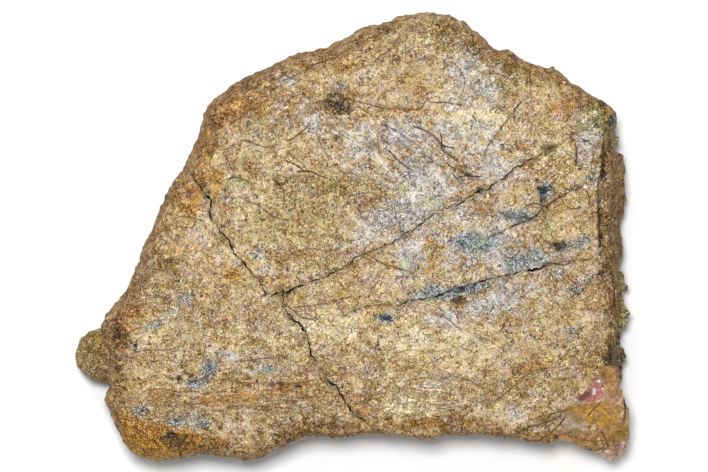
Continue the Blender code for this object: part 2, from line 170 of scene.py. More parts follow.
# The slab. Each side of the outline is a list of x, y and how far in the upper face's edge lies, in pixels.
# The other lists are spread evenly along the side: the wall's exponent, 2 for round and more for square, the
# height of its furthest point as a share of the thickness, and how much of its fall is a sharp step. A pair is
# the height and the size of a noise.
slab = {
    "thickness": 0.030,
    "columns": 264,
    "rows": 201,
    "underEvery": 3,  # the underside is this many times coarser
    "wallRows": 27,
    "inwardOver": 12,  # so many neighbours on each side turn the inward direction smoothly round a corner
    "underInset": 9,
    "crownFall": 3.0 * mm,
    "unevenness": (0.7 * mm, 16 * mm),
    "outlineJitter": (0.30 * mm, 2.6 * mm),
    "wallLedges": (1.15 * mm, 9 * mm),
    "wallGrain": (0.55 * mm, 3.2 * mm),
    "wallFibres": (0.9 * mm, 2.6 * mm),
    "fullStep": 0.32,  # the share of a wall that is broken all the way
    "lipRise": 0.20,
    "underRelief": (2.2 * mm, 34 * mm),
    "underCrown": 4.6 * mm,
    "underFlat": 0.9 * mm,
    "top": {
        "points": [
            (208.5, 106, 20), (215, 99.5, 20), (226.5, 91.5, 20), (232.5, 86, 20), (249, 75.5, 18),
            (270.5, 66.5, 16), (290.5, 57, 14), (305.5, 53, 12), (329.5, 47.5, 12), (334.5, 43, 12),
            (350.5, 36.5, 12), (356, 32, 12), (380.5, 24, 14), (392, 20.5, 14), (397, 16.5, 15),
            (412, 14.5, 16), (428, 13, 17), (448, 16, 16), (462, 21.5, 14), (471, 29, 12), (480, 33, 11),
            (490, 45, 10), (499, 50.5, 9), (507.5, 50.5, 8), (519.5, 59, 8), (534.5, 64.5, 7), (548.5, 68, 7),
            (552.5, 66.5, 7), (558.5, 71, 7), (571.5, 82.5, 7), (589, 94.5, 7), (604, 103.5, 7),
            (614.5, 112, 8),
        ],
        "round": [2.1, 2.1, 2.6],
        "belly": [0.45, 0.45, 0.5],
        "step": [0.0, 0.0, 0.05],
    },
    "right": {
        "points": [
            (614.5, 112, 8), (616.5, 118.5, 9), (614, 129, 9), (615, 136, 11), (613, 149, 12), (623, 155, 20),
            (624.8, 172, 26), (624.8, 192, 28), (624, 215, 26), (620, 228, 20), (619.5, 240, 20),
            (622.5, 255, 17), (617.5, 272, 6), (617.5, 290, 3.5), (618, 303, 4), (618, 316, 6), (618.5, 330, 7),
            (617.5, 350, 9), (618, 366, 10), (619.5, 386, 5), (623, 397, 4), (627, 407, 4), (628.5, 420, 4),
            (628, 438, 4), (624.5, 449.5, 4), (611.5, 458.5, 3),
        ],
        "round": [2.6, 1.7, 1.7, 1.7, 2.0, 2.2, 2.6, 2.6],
        "belly": [0.45, 0.3, 0.26, 0.26, 0.26, 0.3, 0.36, 0.4],
        "step": [0.05, 0.26, 0.32, 0.26, 0.15, 0.1, 0.0, 0.0],
    },
    "bottom": {
        "points": [
            (125.5, 442, 12), (131, 450, 12), (141.5, 456, 12), (155, 458, 12), (170, 459.5, 12),
            (186, 456.5, 11), (200, 451.5, 10), (215, 454, 9), (232, 456.5, 9), (248, 459, 9), (260, 456.5, 9),
            (275, 449.5, 10), (290, 442.5, 10), (303, 436, 9), (318, 434, 8), (332, 436, 8), (345, 435, 7),
            (362, 432.5, 6), (380, 432, 6), (388, 434.5, 6), (400, 435, 6), (422, 436, 6), (431, 438, 6),
            (437, 434.5, 6), (445, 432, 6), (462, 432, 6), (490, 434.5, 6), (515, 437, 8), (530, 440, 10),
            (544, 442, 9), (552, 440.5, 8), (561, 439, 5), (572, 441.5, 5), (585, 447.5, 5), (599, 452.5, 5),
            (611.5, 458.5, 3),
        ],
        "round": [2.2, 2.3, 2.6, 2.8, 2.6],
        "belly": [0.5, 0.5, 0.5, 0.5, 0.4],
        "step": [0.0, 0.0, 0.06, 0.06, 0.0],
    },
    "left": {
        "points": [
            (125.5, 442, 12), (120.5, 430, 10), (113, 414, 9), (106.5, 400, 8), (107, 393, 8), (111, 385, 6),
            (112, 370, 8), (111, 350, 8), (107, 336, 8), (102, 325, 10), (106, 315, 14), (121, 298.5, 20),
            (132, 281.5, 20), (139, 262.5, 20), (144, 247, 20), (154, 226.5, 20), (165, 204, 18),
            (170, 187, 18), (177.5, 176, 18), (186, 168, 16), (194, 149.5, 18), (198, 140, 18), (202, 130, 18),
            (205.5, 114.5, 20), (208.5, 106, 20),
        ],
        "round": [2.2, 2.4, 2.0, 2.0, 2.1],
        "belly": [0.5, 0.5, 0.45, 0.45, 0.45],
        "step": [0.0, 0.0, 0.0, 0.0, 0.0],
    },
    # swells and hollows: x, y, half length and half width in pixels, rise in millimetres, turn in degrees
    "swells": [
        (428, 58, 62, 38, 2.0), (185, 300, 60, 34, 1.1, 60), (160, 432, 52, 22, 2.0, -10),
        (240, 392, 110, 9, 1.3, 3), (470, 330, 90, 50, 0.9, 10), (300, 190, 60, 40, 0.7, 20),
        (560, 110, 40, 20, 1.0, 30), (336, 104, 26, 13, -2.2, 10), (262, 365, 70, 8, -1.5, -3),
        (208, 370, 22, 9, -1.8, -30), (385, 108, 44, 4, -1.3, -4), (275, 135, 44, 8, -1.2, 20),
        (510, 218, 34, 12, -0.9, 20), (215, 418, 60, 7, -1.2, 2), (450, 150, 60, 9, -0.9, -38),
        (590, 165, 10, 26, -1.6), (593, 212, 8, 12, -3.2), (420, 385, 60, 20, -0.8),
    ],
    # the flaked corner: its edge as x, y in pixels and the share of the full drop, and its profile as the
    # distance beyond the edge and the drop, in millimetres
    "flakeEdge": [
        (650, 338, 1.0), (622, 357, 1.0), (607, 367, 1.0), (598, 377, 1.0), (589, 389, 1.0), (578, 400, 1.0),
        (562, 409, 0.9), (536, 417, 0.75), (510, 430, 0.6), (488, 446, 0.5), (470, 470, 0.4),
    ],
    "flakeProfile": [
        (-2.0, -1.8), (0.0, 0.0), (4.8, 4.3), (11.0, 5.1), (12.4, 6.4), (21.0, 7.8), (29.0, 10.4), (70.0, 15.0),
    ],
    "flakeWay": (0.55, -0.835),
    "flakeWander": (0.7 * mm, 7 * mm),
}


def sideStations(side, count):
    # evenly spaced by arc length: x, y and inset between the points, the rest by the share along the side
    _, (xPx, yPx, inset) = evenly(np.array(side["points"], float).T, count=count)
    share = np.linspace(0, 1, count)
    kinds = [np.interp(share, np.linspace(0, 1, len(side[k])), side[k]) for k in ("round", "belly", "step")]
    return np.stack([*placed(xPx, yPx), inset * pixel, *kinds], axis=1)


def outlineStations(columns, rows):
    # the four sides one after another, anticlockwise from the lower left corner, with no point twice
    sides = (("bottom", columns, 1), ("right", rows, -1), ("top", columns, -1), ("left", rows, -1))
    return np.concatenate([sideStations(slab[name], count + 1)[::way][:-1] for name, count, way in sides])


def inwardWays(outline, window):
    # the outline's direction turned to the left, averaged over the neighbours so that no two cross
    ahead = np.roll(outline, -1, axis=0) - np.roll(outline, 1, axis=0)
    ahead /= np.linalg.norm(ahead, axis=1, keepdims=True)
    way = np.stack([-ahead[:, 1], ahead[:, 0]], axis=1)
    way = sum(np.roll(way, shift, axis=0) for shift in range(-window, window + 1))
    return way / np.linalg.norm(way, axis=1, keepdims=True)


def patchInside(rim, columns, rows):
    # a Coons patch: the blend across, plus the blend along, less the blend of the four corners
    closed = np.concatenate([rim, rim[:1]])
    turn = np.cumsum([0, columns, rows, columns, rows])
    bottom, right, top, left = (closed[a : b + 1] for a, b in zip(turn[:-1], turn[1:]))
    top, left = top[::-1], left[::-1]
    u = np.linspace(0, 1, columns + 1)[:, None, None]
    v = np.linspace(0, 1, rows + 1)[None, :, None]
    corners = (1 - u) * ((1 - v) * bottom[0] + v * top[0]) + u * ((1 - v) * bottom[-1] + v * top[-1])
    return (1 - v) * bottom[:, None] + v * top[:, None] + (1 - u) * left[None] + u * right[None] - corners


def crownShare(x, y):
    # 0 in the slab's middle, 1 near its edges
    width = picture["slabWidth"]
    return np.minimum(1, (x / (0.5 * width)) ** 2 + (y / (0.4 * width)) ** 2) ** 1.5


def flakeHeight(x, y, face):
    # the face less the flake's profile at the distance beyond its edge, which wanders a little
    edge, profile = np.array(slab["flakeEdge"]), mm * np.array(slab["flakeProfile"])
    edgeX, edgeY = onFace(*edge[:, :2].T)
    awayX, awayY = slab["flakeWay"]
    across, beyond = edgeX * -awayY + edgeY * awayX, edgeX * awayX + edgeY * awayY
    order = np.argsort(across)
    here = x * -awayY + y * awayX
    share = np.interp(here, across[order], edge[order, 2])
    wander, size = slab["flakeWander"]
    distance = x * awayX + y * awayY - np.interp(here, across[order], beyond[order])
    distance = distance + wander * fractal(x, y, 0, size, 3, 41)
    # inside the profile's start the flake stands far above the face, so that it never counts there
    drop = np.interp(distance, profile[:, 0], profile[:, 1], left=-farAway)
    return face - np.where(drop > -farAway, share * drop, -farAway)


def faceHeight(x, y):
    # thickness, less the crown, plus the swells and the general unevenness
    rise, size = slab["unevenness"]
    height = slab["thickness"] - slab["crownFall"] * crownShare(x, y) + mm * softSpots(x, y, slab["swells"])
    return height + rise * fractal(x, y, 0, size, 3, 5)


def fineRelief(x, y):
    # low fibres drawn out along the slab, small flaked steps and grain
    fibres = 0.16 * mm * fractal(x / 5, y, 0, 1.9 * mm, 2, 61)
    chips = fractal(x, y, 0, 11 * mm, 4, 71, 0.6)
    steps = 0.45 * mm * (smoothStep(0.10, 0.16, chips) - smoothStep(-0.30, -0.24, chips))
    grain = 0.16 * mm * fractal(x, y, 0, 3.4 * mm, 2, 81)
    return fibres + steps + grain


def underHeight(x, y):
    # a gentle relief that rises towards the edges, worn flat where it would go below the floor
    rise, size = slab["underRelief"]
    relief = rise * fractal(x, y, 0.02, size, 4, 17) + slab["underCrown"] * crownShare(x, y)
    return np.maximum(0, relief - slab["underFlat"])


def wallPoints(ring, upper, under, shares):
    # a superellipse from the upper rim out to the furthest point and back to the lower rim, with a step first
    x, y, _, roundness, belly, step = (column[:, None] for column in ring.T)
    isUpper = shares[None] < 0.5
    rim = np.where(isUpper[..., None], upper[:, None], under[:, None])
    turn = math.pi * np.where(isUpper, shares[None], 1 - shares[None])
    outwards = np.sin(turn) ** (2 / roundness)
    fall = 1 - np.clip(np.cos(turn), 0, 1) ** (2 / roundness)
    # beside the sharp step the layer outside it stands up again, almost as high as the face
    lip = slab["lipRise"] * step / slab["fullStep"] * np.exp(-(((outwards - 0.42) / 0.24) ** 2))
    fall = np.where(isUpper, step + (1 - step) * fall - lip, fall)
    bellyHeight = under[:, None, 2] + belly * (upper[:, None, 2] - under[:, None, 2])
    px = rim[..., 0] + (x - rim[..., 0]) * outwards
    py = rim[..., 1] + (y - rim[..., 1]) * outwards
    pz = rim[..., 2] + (bellyHeight - rim[..., 2]) * fall
    return px, py, pz


def wallRelief(px, py, pz, broken):
    # ledges, grain, and fibres that stand upright where the side is broken
    (ledge, ledgeSize), (grain, grainSize), (fibre, fibreSize) = (
        slab[name] for name in ("wallLedges", "wallGrain", "wallFibres")
    )
    relief = ledge * (1 + 0.3 * broken) * fractal(px / 1.8, py / 1.8, 1.8 * pz, ledgeSize, 3, 29)
    relief = relief + grain * fractal(px, py, pz, grainSize, 3, 33)
    return relief + fibre * broken * fractal(px, py / 7, pz, fibreSize, 3, 37)


def buildSlab():
    # a fine grid above, rows of wall points round it and a coarser grid below, closed into one skin
    n, m, every = slab["columns"], slab["rows"], slab["underEvery"]
    ring = outlineStations(n, m)
    inward = inwardWays(ring[:, :2], slab["inwardOver"])
    jitter, size = slab["outlineJitter"]
    ring[:, :2] += inward * (jitter * fractal(ring[:, 0], ring[:, 1], 0, size, 2, 91))[:, None]
    upperRim = picture["faceScale"] * (ring[:, :2] + inward * ring[:, 2:3])
    underRim = ring[:, :2] + inward * slab["underInset"] * pixel

    sheet = patchInside(upperRim, n, m)
    x, y = sheet[..., 0], sheet[..., 1]
    face = faceHeight(x, y)
    top = np.dstack([sheet, np.minimum(face, flakeHeight(x, y, face)) + fineRelief(x, y)])
    coarse = patchInside(underRim[::every], n // every, m // every)
    below = np.dstack([coarse, underHeight(coarse[..., 0], coarse[..., 1])])

    index = np.arange((n + 1) * (m + 1)).reshape(n + 1, m + 1)
    rimIndex = borderOf(index)
    upper = np.column_stack([upperRim, face.ravel()[rimIndex]])
    under = np.column_stack([underRim, underHeight(underRim[:, 0], underRim[:, 1])])
    shares = np.concatenate([[0.03], np.linspace(0, 1, slab["wallRows"] + 1)[1:-1]])
    px, py, pz = wallPoints(ring, upper, under, shares)
    fade = np.clip(shares / 0.06, 0, 1) * np.clip((1 - shares) / 0.1, 0, 1)
    move = wallRelief(px, py, pz, ring[:, 5:6] / slab["fullStep"]) * fade[None]
    px, py = px + inward[:, :1] * move, py + inward[:, 1:] * move
    pz = np.minimum(pz, flakeHeight(px, py, faceHeight(px, py)))
    walls = np.stack([px, py, np.maximum(pz, 0.05 * mm)], axis=-1)

    wallIndex = index.size + np.arange(px.size).reshape(px.shape)
    belowIndex = index.size + wallIndex.size + np.arange(below[..., 0].size).reshape(below.shape[:2])
    columns = np.column_stack([rimIndex, wallIndex])
    wallFaces = gridFaces(np.concatenate([columns, columns[:1]]), True)
    # the coarse underside meets the fine wall: three wall points to each of its own
    foot = borderOf(belowIndex)
    last, nextFoot = wallIndex[:, -1].reshape(-1, every), np.roll(foot, -1)
    nextLast = np.roll(last[:, 0], -1)
    joint = [
        np.stack([last[:, 1], foot, nextFoot, last[:, 2]], axis=1),
        np.stack([last[:, 0], foot, last[:, 1]], axis=1),
        np.stack([last[:, 2], nextFoot, nextLast], axis=1),
    ]
    points = np.concatenate([top.reshape(-1, 3), walls.reshape(-1, 3), below.reshape(-1, 3)])
    print("slab", len(points), "points")
    return meshObject("frillSlab", points, [gridFaces(index), wallFaces, gridFaces(belowIndex, True), *joint])


# The knob of the lower layer, sticking out on the left under the upper face.
knob = {
    "middle": (111.0, 354.2, 10.4 * mm),
    "halfSize": (16.0 * mm, 12.7 * mm, 9.8 * mm),
    "squareness": 1.15,
    "segments": (96, 64),
    "bumps": 0.10,
    "rings": 0.012,
}


def ballGrid(around, down):
    # directions over a ball: the angle round times the angle down, with the poles as single points
    turn = np.linspace(0, 2 * math.pi, around, endpoint=False)[:, None]
    tilt = np.linspace(0, math.pi, down + 1)[None, 1:-1]
    x, y, z = np.broadcast_arrays(np.cos(turn) * np.sin(tilt), np.sin(turn) * np.sin(tilt), np.cos(tilt))
    ways = np.concatenate([np.stack([x, y, z], axis=-1).reshape(-1, 3), [[0, 0, 1], [0, 0, -1]]])
    index = np.arange(around * (down - 1)).reshape(around, down - 1)
    after = np.roll(index, -1, axis=0)
    sides = gridFaces(np.concatenate([index, index[:1]]), True)
    north = np.stack([np.full(around, index.size), index[:, 0], after[:, 0]], axis=1)
    south = np.stack([np.full(around, index.size + 1), after[:, -1], index[:, -1]], axis=1)
    return ways, [sides, north, south]


def buildKnob():
    # a squarish ellipsoid whose radius carries noise and fine rings, one inside the other towards its tip
    ways, faces = ballGrid(*knob["segments"])
    p = 2 * knob["squareness"]
    reach = (np.abs(ways) ** p).sum(1) ** (-1 / p)
    bumps = knob["bumps"] * fractal(*(ways.T + 3.1), 0.9, 4, 3)
    rings = knob["rings"] * np.sin(26 * ways[:, 0] + 4 * fractal(*ways.T, 1.0, 2, 7)) * (ways[:, 0] < 0)
    x, y = placed(*knob["middle"][:2])
    points = ways * (reach * (1 + bumps + rings))[:, None] * knob["halfSize"] + (x, y, knob["middle"][2])
    points[:, 2] = np.maximum(points[:, 2], 0.2 * mm)
    return meshObject("knobTool", points, faces)


# The open cracks: x and y in pixels and the width of the opening in millimetres.
cracks = {
    "depth": 4.2 * mm,
    "above": 1.6 * mm,  # the cutting wedge stands this far above the face
    "spacing": 0.55 * mm,
    "narrowing": 0.55,
    "fullWidth": 0.9 * mm,  # a crack this wide has its full depth
    "wander": (0.75 * mm, 3.0 * mm),
    "swelling": (1.7, 4 * mm),
    "paths": {
        "left": [
            (180, 162, 0.5), (186, 167, 0.6), (191, 171, 0.7), (196, 181, 0.8), (200, 185, 1.2),
            (204, 191, 1.5), (208, 196, 1.9), (212, 199, 1.6), (211, 208, 1.0), (211, 219, 0.9),
            (218, 224, 0.8), (220, 230, 0.9), (230, 240, 1.1), (232, 247, 1.2), (235, 253, 1.0),
            (243, 260, 1.0), (250, 270, 0.9), (259, 279, 0.8), (267, 294, 0.9),
        ],
        "lower": [
            (284, 290, 0.6), (284, 304, 0.9), (288, 314, 0.9), (301, 323, 1.2), (307, 334, 0.9),
            (312, 353, 0.9), (320, 364, 1.0), (330, 383, 1.0), (336, 385, 0.9), (349, 406, 1.1),
            (356, 415, 0.9), (366, 421, 0.6), (378, 429, 0.4), (384, 438, 0.3),
        ],
        "long": [
            (262, 295, 0.7), (289, 291, 1.5), (302, 285, 0.7), (314, 280, 0.7), (326, 277, 0.8),
            (337, 270, 0.7), (349, 265, 0.8), (356, 258, 0.6), (366, 252, 0.6), (380, 248, 0.7),
            (394, 242, 0.7), (405, 234, 0.7), (416, 228, 0.9), (433, 214, 0.6), (447, 207, 0.6),
            (459, 204, 0.8), (470, 196, 0.9), (481, 190, 1.3), (488, 188, 1.2), (501, 179, 1.1),
            (516, 168, 1.0), (529, 160, 0.9), (539, 155, 0.8), (549, 148, 0.6), (562, 143, 0.4),
            (573, 135, 0.3),
        ],
        "right": [
            (398, 307, 0.3), (406, 301, 0.7), (425, 298, 0.8), (442, 294, 0.9), (459, 287, 1.0),
            (480, 281, 1.1), (499, 276, 1.3), (516, 273, 1.3), (521, 271, 1.3), (536, 269, 1.2),
            (542, 267, 1.0), (555, 263, 0.7), (572, 260, 0.5), (598, 258, 0.4),
        ],
        "faint": [
            (342, 315, 0.3), (357, 309, 0.4), (376, 304, 0.4), (392, 304, 0.3),
        ],
        "upper": [
            (532, 93, 0.3), (529, 97, 0.5), (521, 102, 0.7), (514, 113, 0.8), (506, 123, 0.7), (496, 135, 0.8),
            (489, 145, 0.6), (485, 155, 0.3),
        ],
        "short": [
            (487, 238, 0.4), (501, 231, 0.5), (509, 228, 0.4), (521, 222, 0.4), (536, 217, 0.4),
            (542, 209, 0.4), (559, 197, 0.6), (578, 188, 0.6), (583, 186, 0.4),
        ],
        "plate": [
            (576, 148, 0.3), (577, 155, 0.6), (577, 163, 0.3),
        ],
    },
}


def crackTrack(path, seed):
    # the path at an even fine spacing, pushed sideways by noise, with its width coming and going
    xPx, yPx, width = np.array(path, float).T
    where, (x, y, width) = evenly([*onFace(xPx, yPx), width], cracks["spacing"])
    push, size = cracks["wander"]
    side = push * fractal(where, seed, 0, size, 3, 13, 0.7)
    swell, size = cracks["swelling"]
    swelling = np.clip(1 + swell * fractal(where, seed, 0.5, size, 3, 19), 0.2, 1.9)
    leftX, leftY = acrossPath(x, y)
    return x + side * leftX, y + side * leftY, cracks["narrowing"] * width * mm * swelling


def buildCrack(name, path, seed):
    # a wedge: at each station a triangle across the track, wide above the face and sharp at its foot
    x, y, width = crackTrack(path, seed)
    depth = cracks["depth"] * np.clip(width / cracks["fullWidth"], 0.4, 1.0)
    half = 0.5 * width * (depth + cracks["above"]) / depth
    sideX, sideY = half * acrossPath(x, y)
    face = faceHeight(x, y)
    high, low = face + cracks["above"], face - depth
    corners = [(x + sideX, y + sideY, high), (x - sideX, y - sideY, high), (x, y, low)]
    points = np.stack([np.stack(c, axis=1) for c in corners], axis=1)
    index = np.arange(len(x) * 3).reshape(-1, 3)
    sides = gridFaces(np.column_stack([index, index[:, 0]]), True)
    return meshObject(f"{name}CrackTool", points.reshape(-1, 3), [sides, index[:1, ::-1], index[-1:]])


def joined(body, tools):
    # each tool is joined to the body or cut out of it in turn, then the result becomes the body's own mesh
    for tool, operation in tools:
        step = body.modifiers.new(tool.name, "BOOLEAN")
        step.object = tool
        step.operation = operation
        step.solver = "MANIFOLD"
    finished = bpy.data.meshes.new_from_object(body.evaluated_get(bpy.context.evaluated_depsgraph_get()))
    body.modifiers.clear()
    body.data = finished
    for tool, _ in tools:
        bpy.data.objects.remove(tool, do_unlink=True)
    return body


bone = buildSlab()
tools = [(buildKnob(), "UNION")]
for number, (name, path) in enumerate(cracks["paths"].items()):
    tools.append((buildCrack(name, path, 0.37 * number), "DIFFERENCE"))
bone = joined(bone, tools)
bone.data.shade_smooth()
bone.data.set_sharp_from_angle(angle=math.radians(50))
print("bone", len(bone.data.vertices), "points", len(bone.data.polygons), "faces")


# Stains and markings. Each kind is a list of soft spots: x, y, half length and half width in pixels, strength
# and, where it isn't level, its turn in degrees. The material breaks their edges up with noise.
stains = {
    "lilac": [
        (460, 70, 20, 14, 0.5), (472, 50, 14, 14, 0.35), (365, 235, 24, 14, 0.5, 30), (225, 200, 14, 8, 0.3),
        (430, 190, 95, 75, 0.42, -25), (490, 85, 26, 24, 0.4), (455, 102, 18, 12, 0.4), (420, 185, 20, 24, 0.6),
        (400, 130, 30, 12, 0.5), (355, 145, 26, 16, 0.36, -30), (315, 122, 14, 14, 0.6),
        (475, 130, 30, 16, 0.4), (500, 163, 24, 20, 0.4), (590, 132, 18, 22, 0.5), (184, 418, 26, 9, 0.5),
        (148, 272, 8, 14, 0.4), (398, 215, 22, 12, 0.5), (408, 262, 12, 26, 0.55), (500, 300, 40, 18, 0.55, 10),
        (445, 320, 30, 16, 0.4), (515, 415, 13, 9, 0.6), (435, 380, 28, 12, 0.45), (170, 312, 12, 12, 0.55),
        (228, 357, 14, 9, 0.5), (285, 80, 18, 12, 0.35), (275, 122, 18, 12, 0.35), (260, 262, 24, 7, 0.5, -48),
        (490, 250, 42, 26, 0.4), (590, 165, 10, 26, 0.5), (380, 372, 20, 8, 0.2),
    ],
    "slate": [
        (482, 244, 26, 11, 0.68, 8), (517, 215, 20, 7, 0.8), (528, 260, 24, 10, 0.95, 8),
        (492, 90, 14, 16, 0.4), (458, 290, 44, 7, 0.75, 12), (547, 190, 8, 9, 0.9), (580, 243, 24, 7, 0.6, 15),
        (385, 317, 11, 5, 0.85), (292, 76, 9, 7, 0.55), (210, 368, 9, 13, 0.8, -20), (194, 384, 9, 5, 0.7),
        (178, 421, 12, 8, 0.6, -10), (201, 424, 10, 6, 0.6), (141, 411, 11, 8, 0.55),
        (262, 370, 28, 5, 0.55, 5), (155, 325, 14, 4, 0.5, 5), (592, 273, 9, 8, 0.5), (575, 290, 9, 8, 0.45),
        (572, 330, 8, 14, 0.4), (560, 275, 14, 12, 0.4), (186, 298, 10, 10, 0.45), (345, 85, 12, 8, 0.45),
        (465, 238, 10, 8, 0.6), (430, 289, 14, 6, 0.6), (482, 309, 12, 9, 0.5),
    ],
    "ink": [
        (512, 214, 13, 4, 0.35, -8), (543, 191, 5, 10, 0.9), (561, 246, 7, 5, 0.9), (458, 242, 10, 5, 0.45, -5),
        (462, 289, 18, 4, 0.35, 14), (519, 262, 13, 5, 0.15, -20), (578, 290, 9, 7, 0.5), (385, 317, 9, 4, 0.7),
        (583, 238, 10, 4, 0.5, 15), (484, 251, 13, 4, 0.3, 5), (338, 104, 12, 9, 0.3), (613, 119, 4, 6, 0.8),
        (604, 104, 8, 3, 0.6, 30), (598, 124, 3, 5, 0.6), (590, 141, 4, 3, 0.4), (608, 128, 4, 6, 0.5),
        (612, 142, 5, 5, 0.6), (604, 168, 5, 9, 0.6), (208, 368, 6, 9, 0.4, -20), (178, 420, 8, 4, 0.4),
        (466, 173, 9, 5, 0.5, -10), (252, 103, 6, 5, 0.35), (248, 124, 6, 5, 0.4), (592, 175, 8, 6, 0.5),
    ],
    "lime": [
        (585, 126, 8, 6, 0.7), (595, 107, 9, 6, 0.8), (600, 118, 6, 10, 0.5), (403, 188, 6, 9, 0.5),
        (418, 204, 12, 6, 0.5, 20), (440, 203, 10, 5, 0.4), (404, 264, 7, 6, 0.6), (446, 272, 7, 5, 0.6),
        (425, 285, 12, 5, 0.5), (616, 178, 4, 6, 0.6), (238, 182, 12, 7, 0.4), (440, 40, 30, 10, 0.25),
        (250, 132, 8, 7, 0.3), (548, 222, 6, 12, 0.5, 20), (430, 217, 6, 8, 0.4), (594, 168, 8, 12, 0.4),
    ],
    "umber": [
        (338, 104, 17, 14, 0.62), (206, 192, 8, 10, 0.3, -50), (540, 184, 14, 6, 0.5, -30),
        (615, 357, 9, 10, 0.8), (172, 436, 14, 6, 0.7), (150, 449, 16, 5, 0.3), (115, 365, 12, 26, 0.35),
        (368, 410, 12, 6, 0.1, -30), (601, 228, 3, 38, 0.65), (605, 160, 3, 16, 0.9), (615, 292, 3, 24, 0.35),
        (613.5, 330, 4, 24, 0.25), (608, 266, 4, 12, 0.8, -30), (612, 356, 5, 12, 0.8), (612, 442, 4, 8, 0.5),
        (559, 434, 4, 6, 0.6), (182, 444, 15, 7, 0.6), (458, 299, 6, 4, 0.7), (460, 172, 10, 7, 0.5, -40),
        (478, 190, 8, 6, 0.5), (555, 246, 8, 6, 0.6), (382, 30, 14, 8, 0.4), (476, 48, 10, 8, 0.45),
        (520, 62, 16, 7, 0.45, -25), (284, 291, 10, 6, 0.5), (165, 262, 10, 6, 0.5),
        (120, 335, 14, 9, 0.6, -40), (378, 350, 6, 12, 0.35), (460, 300, 8, 5, 0.5), (270, 385, 26, 6, 0.45),
        (520, 370, 12, 6, 0.4), (305, 430, 40, 8, 0.5, 10), (190, 375, 20, 6, 0.4, 10),
        (245, 85, 20, 9, 0.45, 25), (370, 250, 12, 5, 0.35, -30), (330, 270, 16, 5, 0.3, 20),
        (570, 105, 16, 6, 0.3),
    ],
    "rust": [
        (240, 105, 48, 24, 0.5, 30), (203, 145, 14, 30, 0.4), (230, 398, 55, 9, 0.6, 2),
        (196, 197, 8, 24, 0.7, -20), (134, 312, 16, 22, 0.5, -30), (290, 385, 24, 8, 0.55),
        (405, 109, 32, 6, 0.5, -4), (345, 62, 22, 16, 0.4), (560, 107, 24, 8, 0.6, 10),
        (535, 366, 28, 5, 0.6, 10), (145, 428, 24, 14, 0.45, -20), (210, 440, 30, 10, 0.4, 10),
        (120, 340, 10, 14, 0.5), (310, 253, 50, 7, 0.4, 5), (345, 92, 22, 8, 0.5), (180, 190, 16, 34, 0.4, -25),
        (275, 280, 14, 8, 0.4), (320, 360, 20, 8, 0.3), (365, 405, 22, 14, 0.45), (480, 425, 60, 9, 0.35),
        (365, 255, 10, 6, 0.5), (560, 330, 16, 20, 0.2),
    ],
    "ochre": [
        (150, 440, 34, 16, 1.4), (350, 183, 50, 12, 0.25), (150, 385, 40, 26, 0.32), (560, 385, 34, 18, 0.3),
        (186, 245, 30, 60, 0.22, -20), (120, 425, 14, 20, 0.5, -30), (188, 444, 28, 10, 0.9),
        (235, 275, 16, 10, 0.6), (215, 178, 16, 20, 0.5), (395, 84, 34, 12, 0.35), (552, 150, 26, 14, 0.1),
        (420, 425, 60, 9, 0.45), (560, 210, 20, 16, 0.35), (430, 265, 16, 10, 0.4), (440, 360, 60, 20, 0.3),
        (170, 262, 18, 40, 0.12, -20), (600, 110, 12, 12, 0.6), (345, 300, 80, 20, 0.2),
        (375, 320, 20, 14, 0.3),
    ],
    "olive": [
        (606, 110, 16, 14, 1.1), (612, 130, 6, 12, 0.8), (90, 345, 14, 16, 0.6), (350, 183, 58, 15, 0.38),
        (226, 182, 20, 13, 0.2), (565, 384, 28, 14, 0.6), (385, 25, 16, 12, 0.6), (468, 44, 22, 15, 0.35),
        (255, 235, 34, 24, 0.25), (525, 75, 40, 14, 0.5, -20), (330, 222, 60, 28, 0.35),
        (240, 285, 18, 10, 0.4), (506, 88, 10, 14, 0.5), (552, 150, 10, 10, 0.5), (600, 118, 12, 18, 0.5),
        (305, 325, 40, 20, 0.2), (90, 355, 26, 30, 0.55), (420, 220, 30, 20, 0.35),
        (345, 125, 22, 10, 0.3, -20), (550, 220, 10, 30, 0.35), (285, 200, 50, 40, 0.25),
        (210, 150, 16, 16, 0.35), (440, 22, 40, 12, 0.4),
    ],
    "pink": [
        (598, 386, 7, 9, 1.0), (290, 372, 40, 9, 0.3), (575, 424, 14, 9, 0.4), (350, 395, 20, 10, 0.3),
        (595, 330, 9, 60, 0.35), (130, 300, 20, 20, 0.25),
    ],
    # painted glints: white highlights on the polished facet; and small white crystals elsewhere
    "paintedGlintsAndCrystals": [
        (600, 381, 2.6, 2.0, 1.0, 20), (595.5, 391, 2.2, 4.4, 1.0, -12), (604, 388, 1.4, 1.4, 0.8),
        (585.5, 186.5, 1.8, 1.8, 1.3), (609, 452, 1.6, 1.4, 1.2), (584, 121, 2.0, 1.6, 1.1),
        (596, 111, 2.2, 1.8, 1.0), (314, 119, 2.0, 3.0, 0.9), (268, 171, 1.6, 1.6, 1.0),
    ],
    "cream": [
        (470, 121, 36, 14, 1.1), (330, 322, 44, 24, 0.6), (445, 348, 60, 22, 0.75), (400, 407, 30, 10, 0.7),
        (212, 166, 12, 18, 1.2), (228, 184, 18, 14, 0.8), (560, 220, 24, 18, 0.5), (555, 150, 24, 13, 0.65),
        (430, 400, 50, 16, 0.3), (230, 398, 40, 8, 0.3), (402, 108, 24, 6, 0.1), (365, 410, 14, 9, 0.1),
        (235, 215, 20, 16, 0.1), (352, 148, 18, 12, 0.25), (515, 415, 16, 9, 0.6), (340, 220, 50, 26, 0.25),
        (350, 235, 50, 14, 0.3), (180, 250, 24, 24, 0.3), (255, 225, 30, 26, 0.3), (420, 340, 40, 14, 0.3),
        (250, 335, 60, 16, 0.3), (500, 412, 24, 12, 0.4), (420, 190, 16, 18, 0.4), (290, 240, 26, 10, 0.3, -45),
        (215, 355, 18, 9, 0.3),
    ],
}
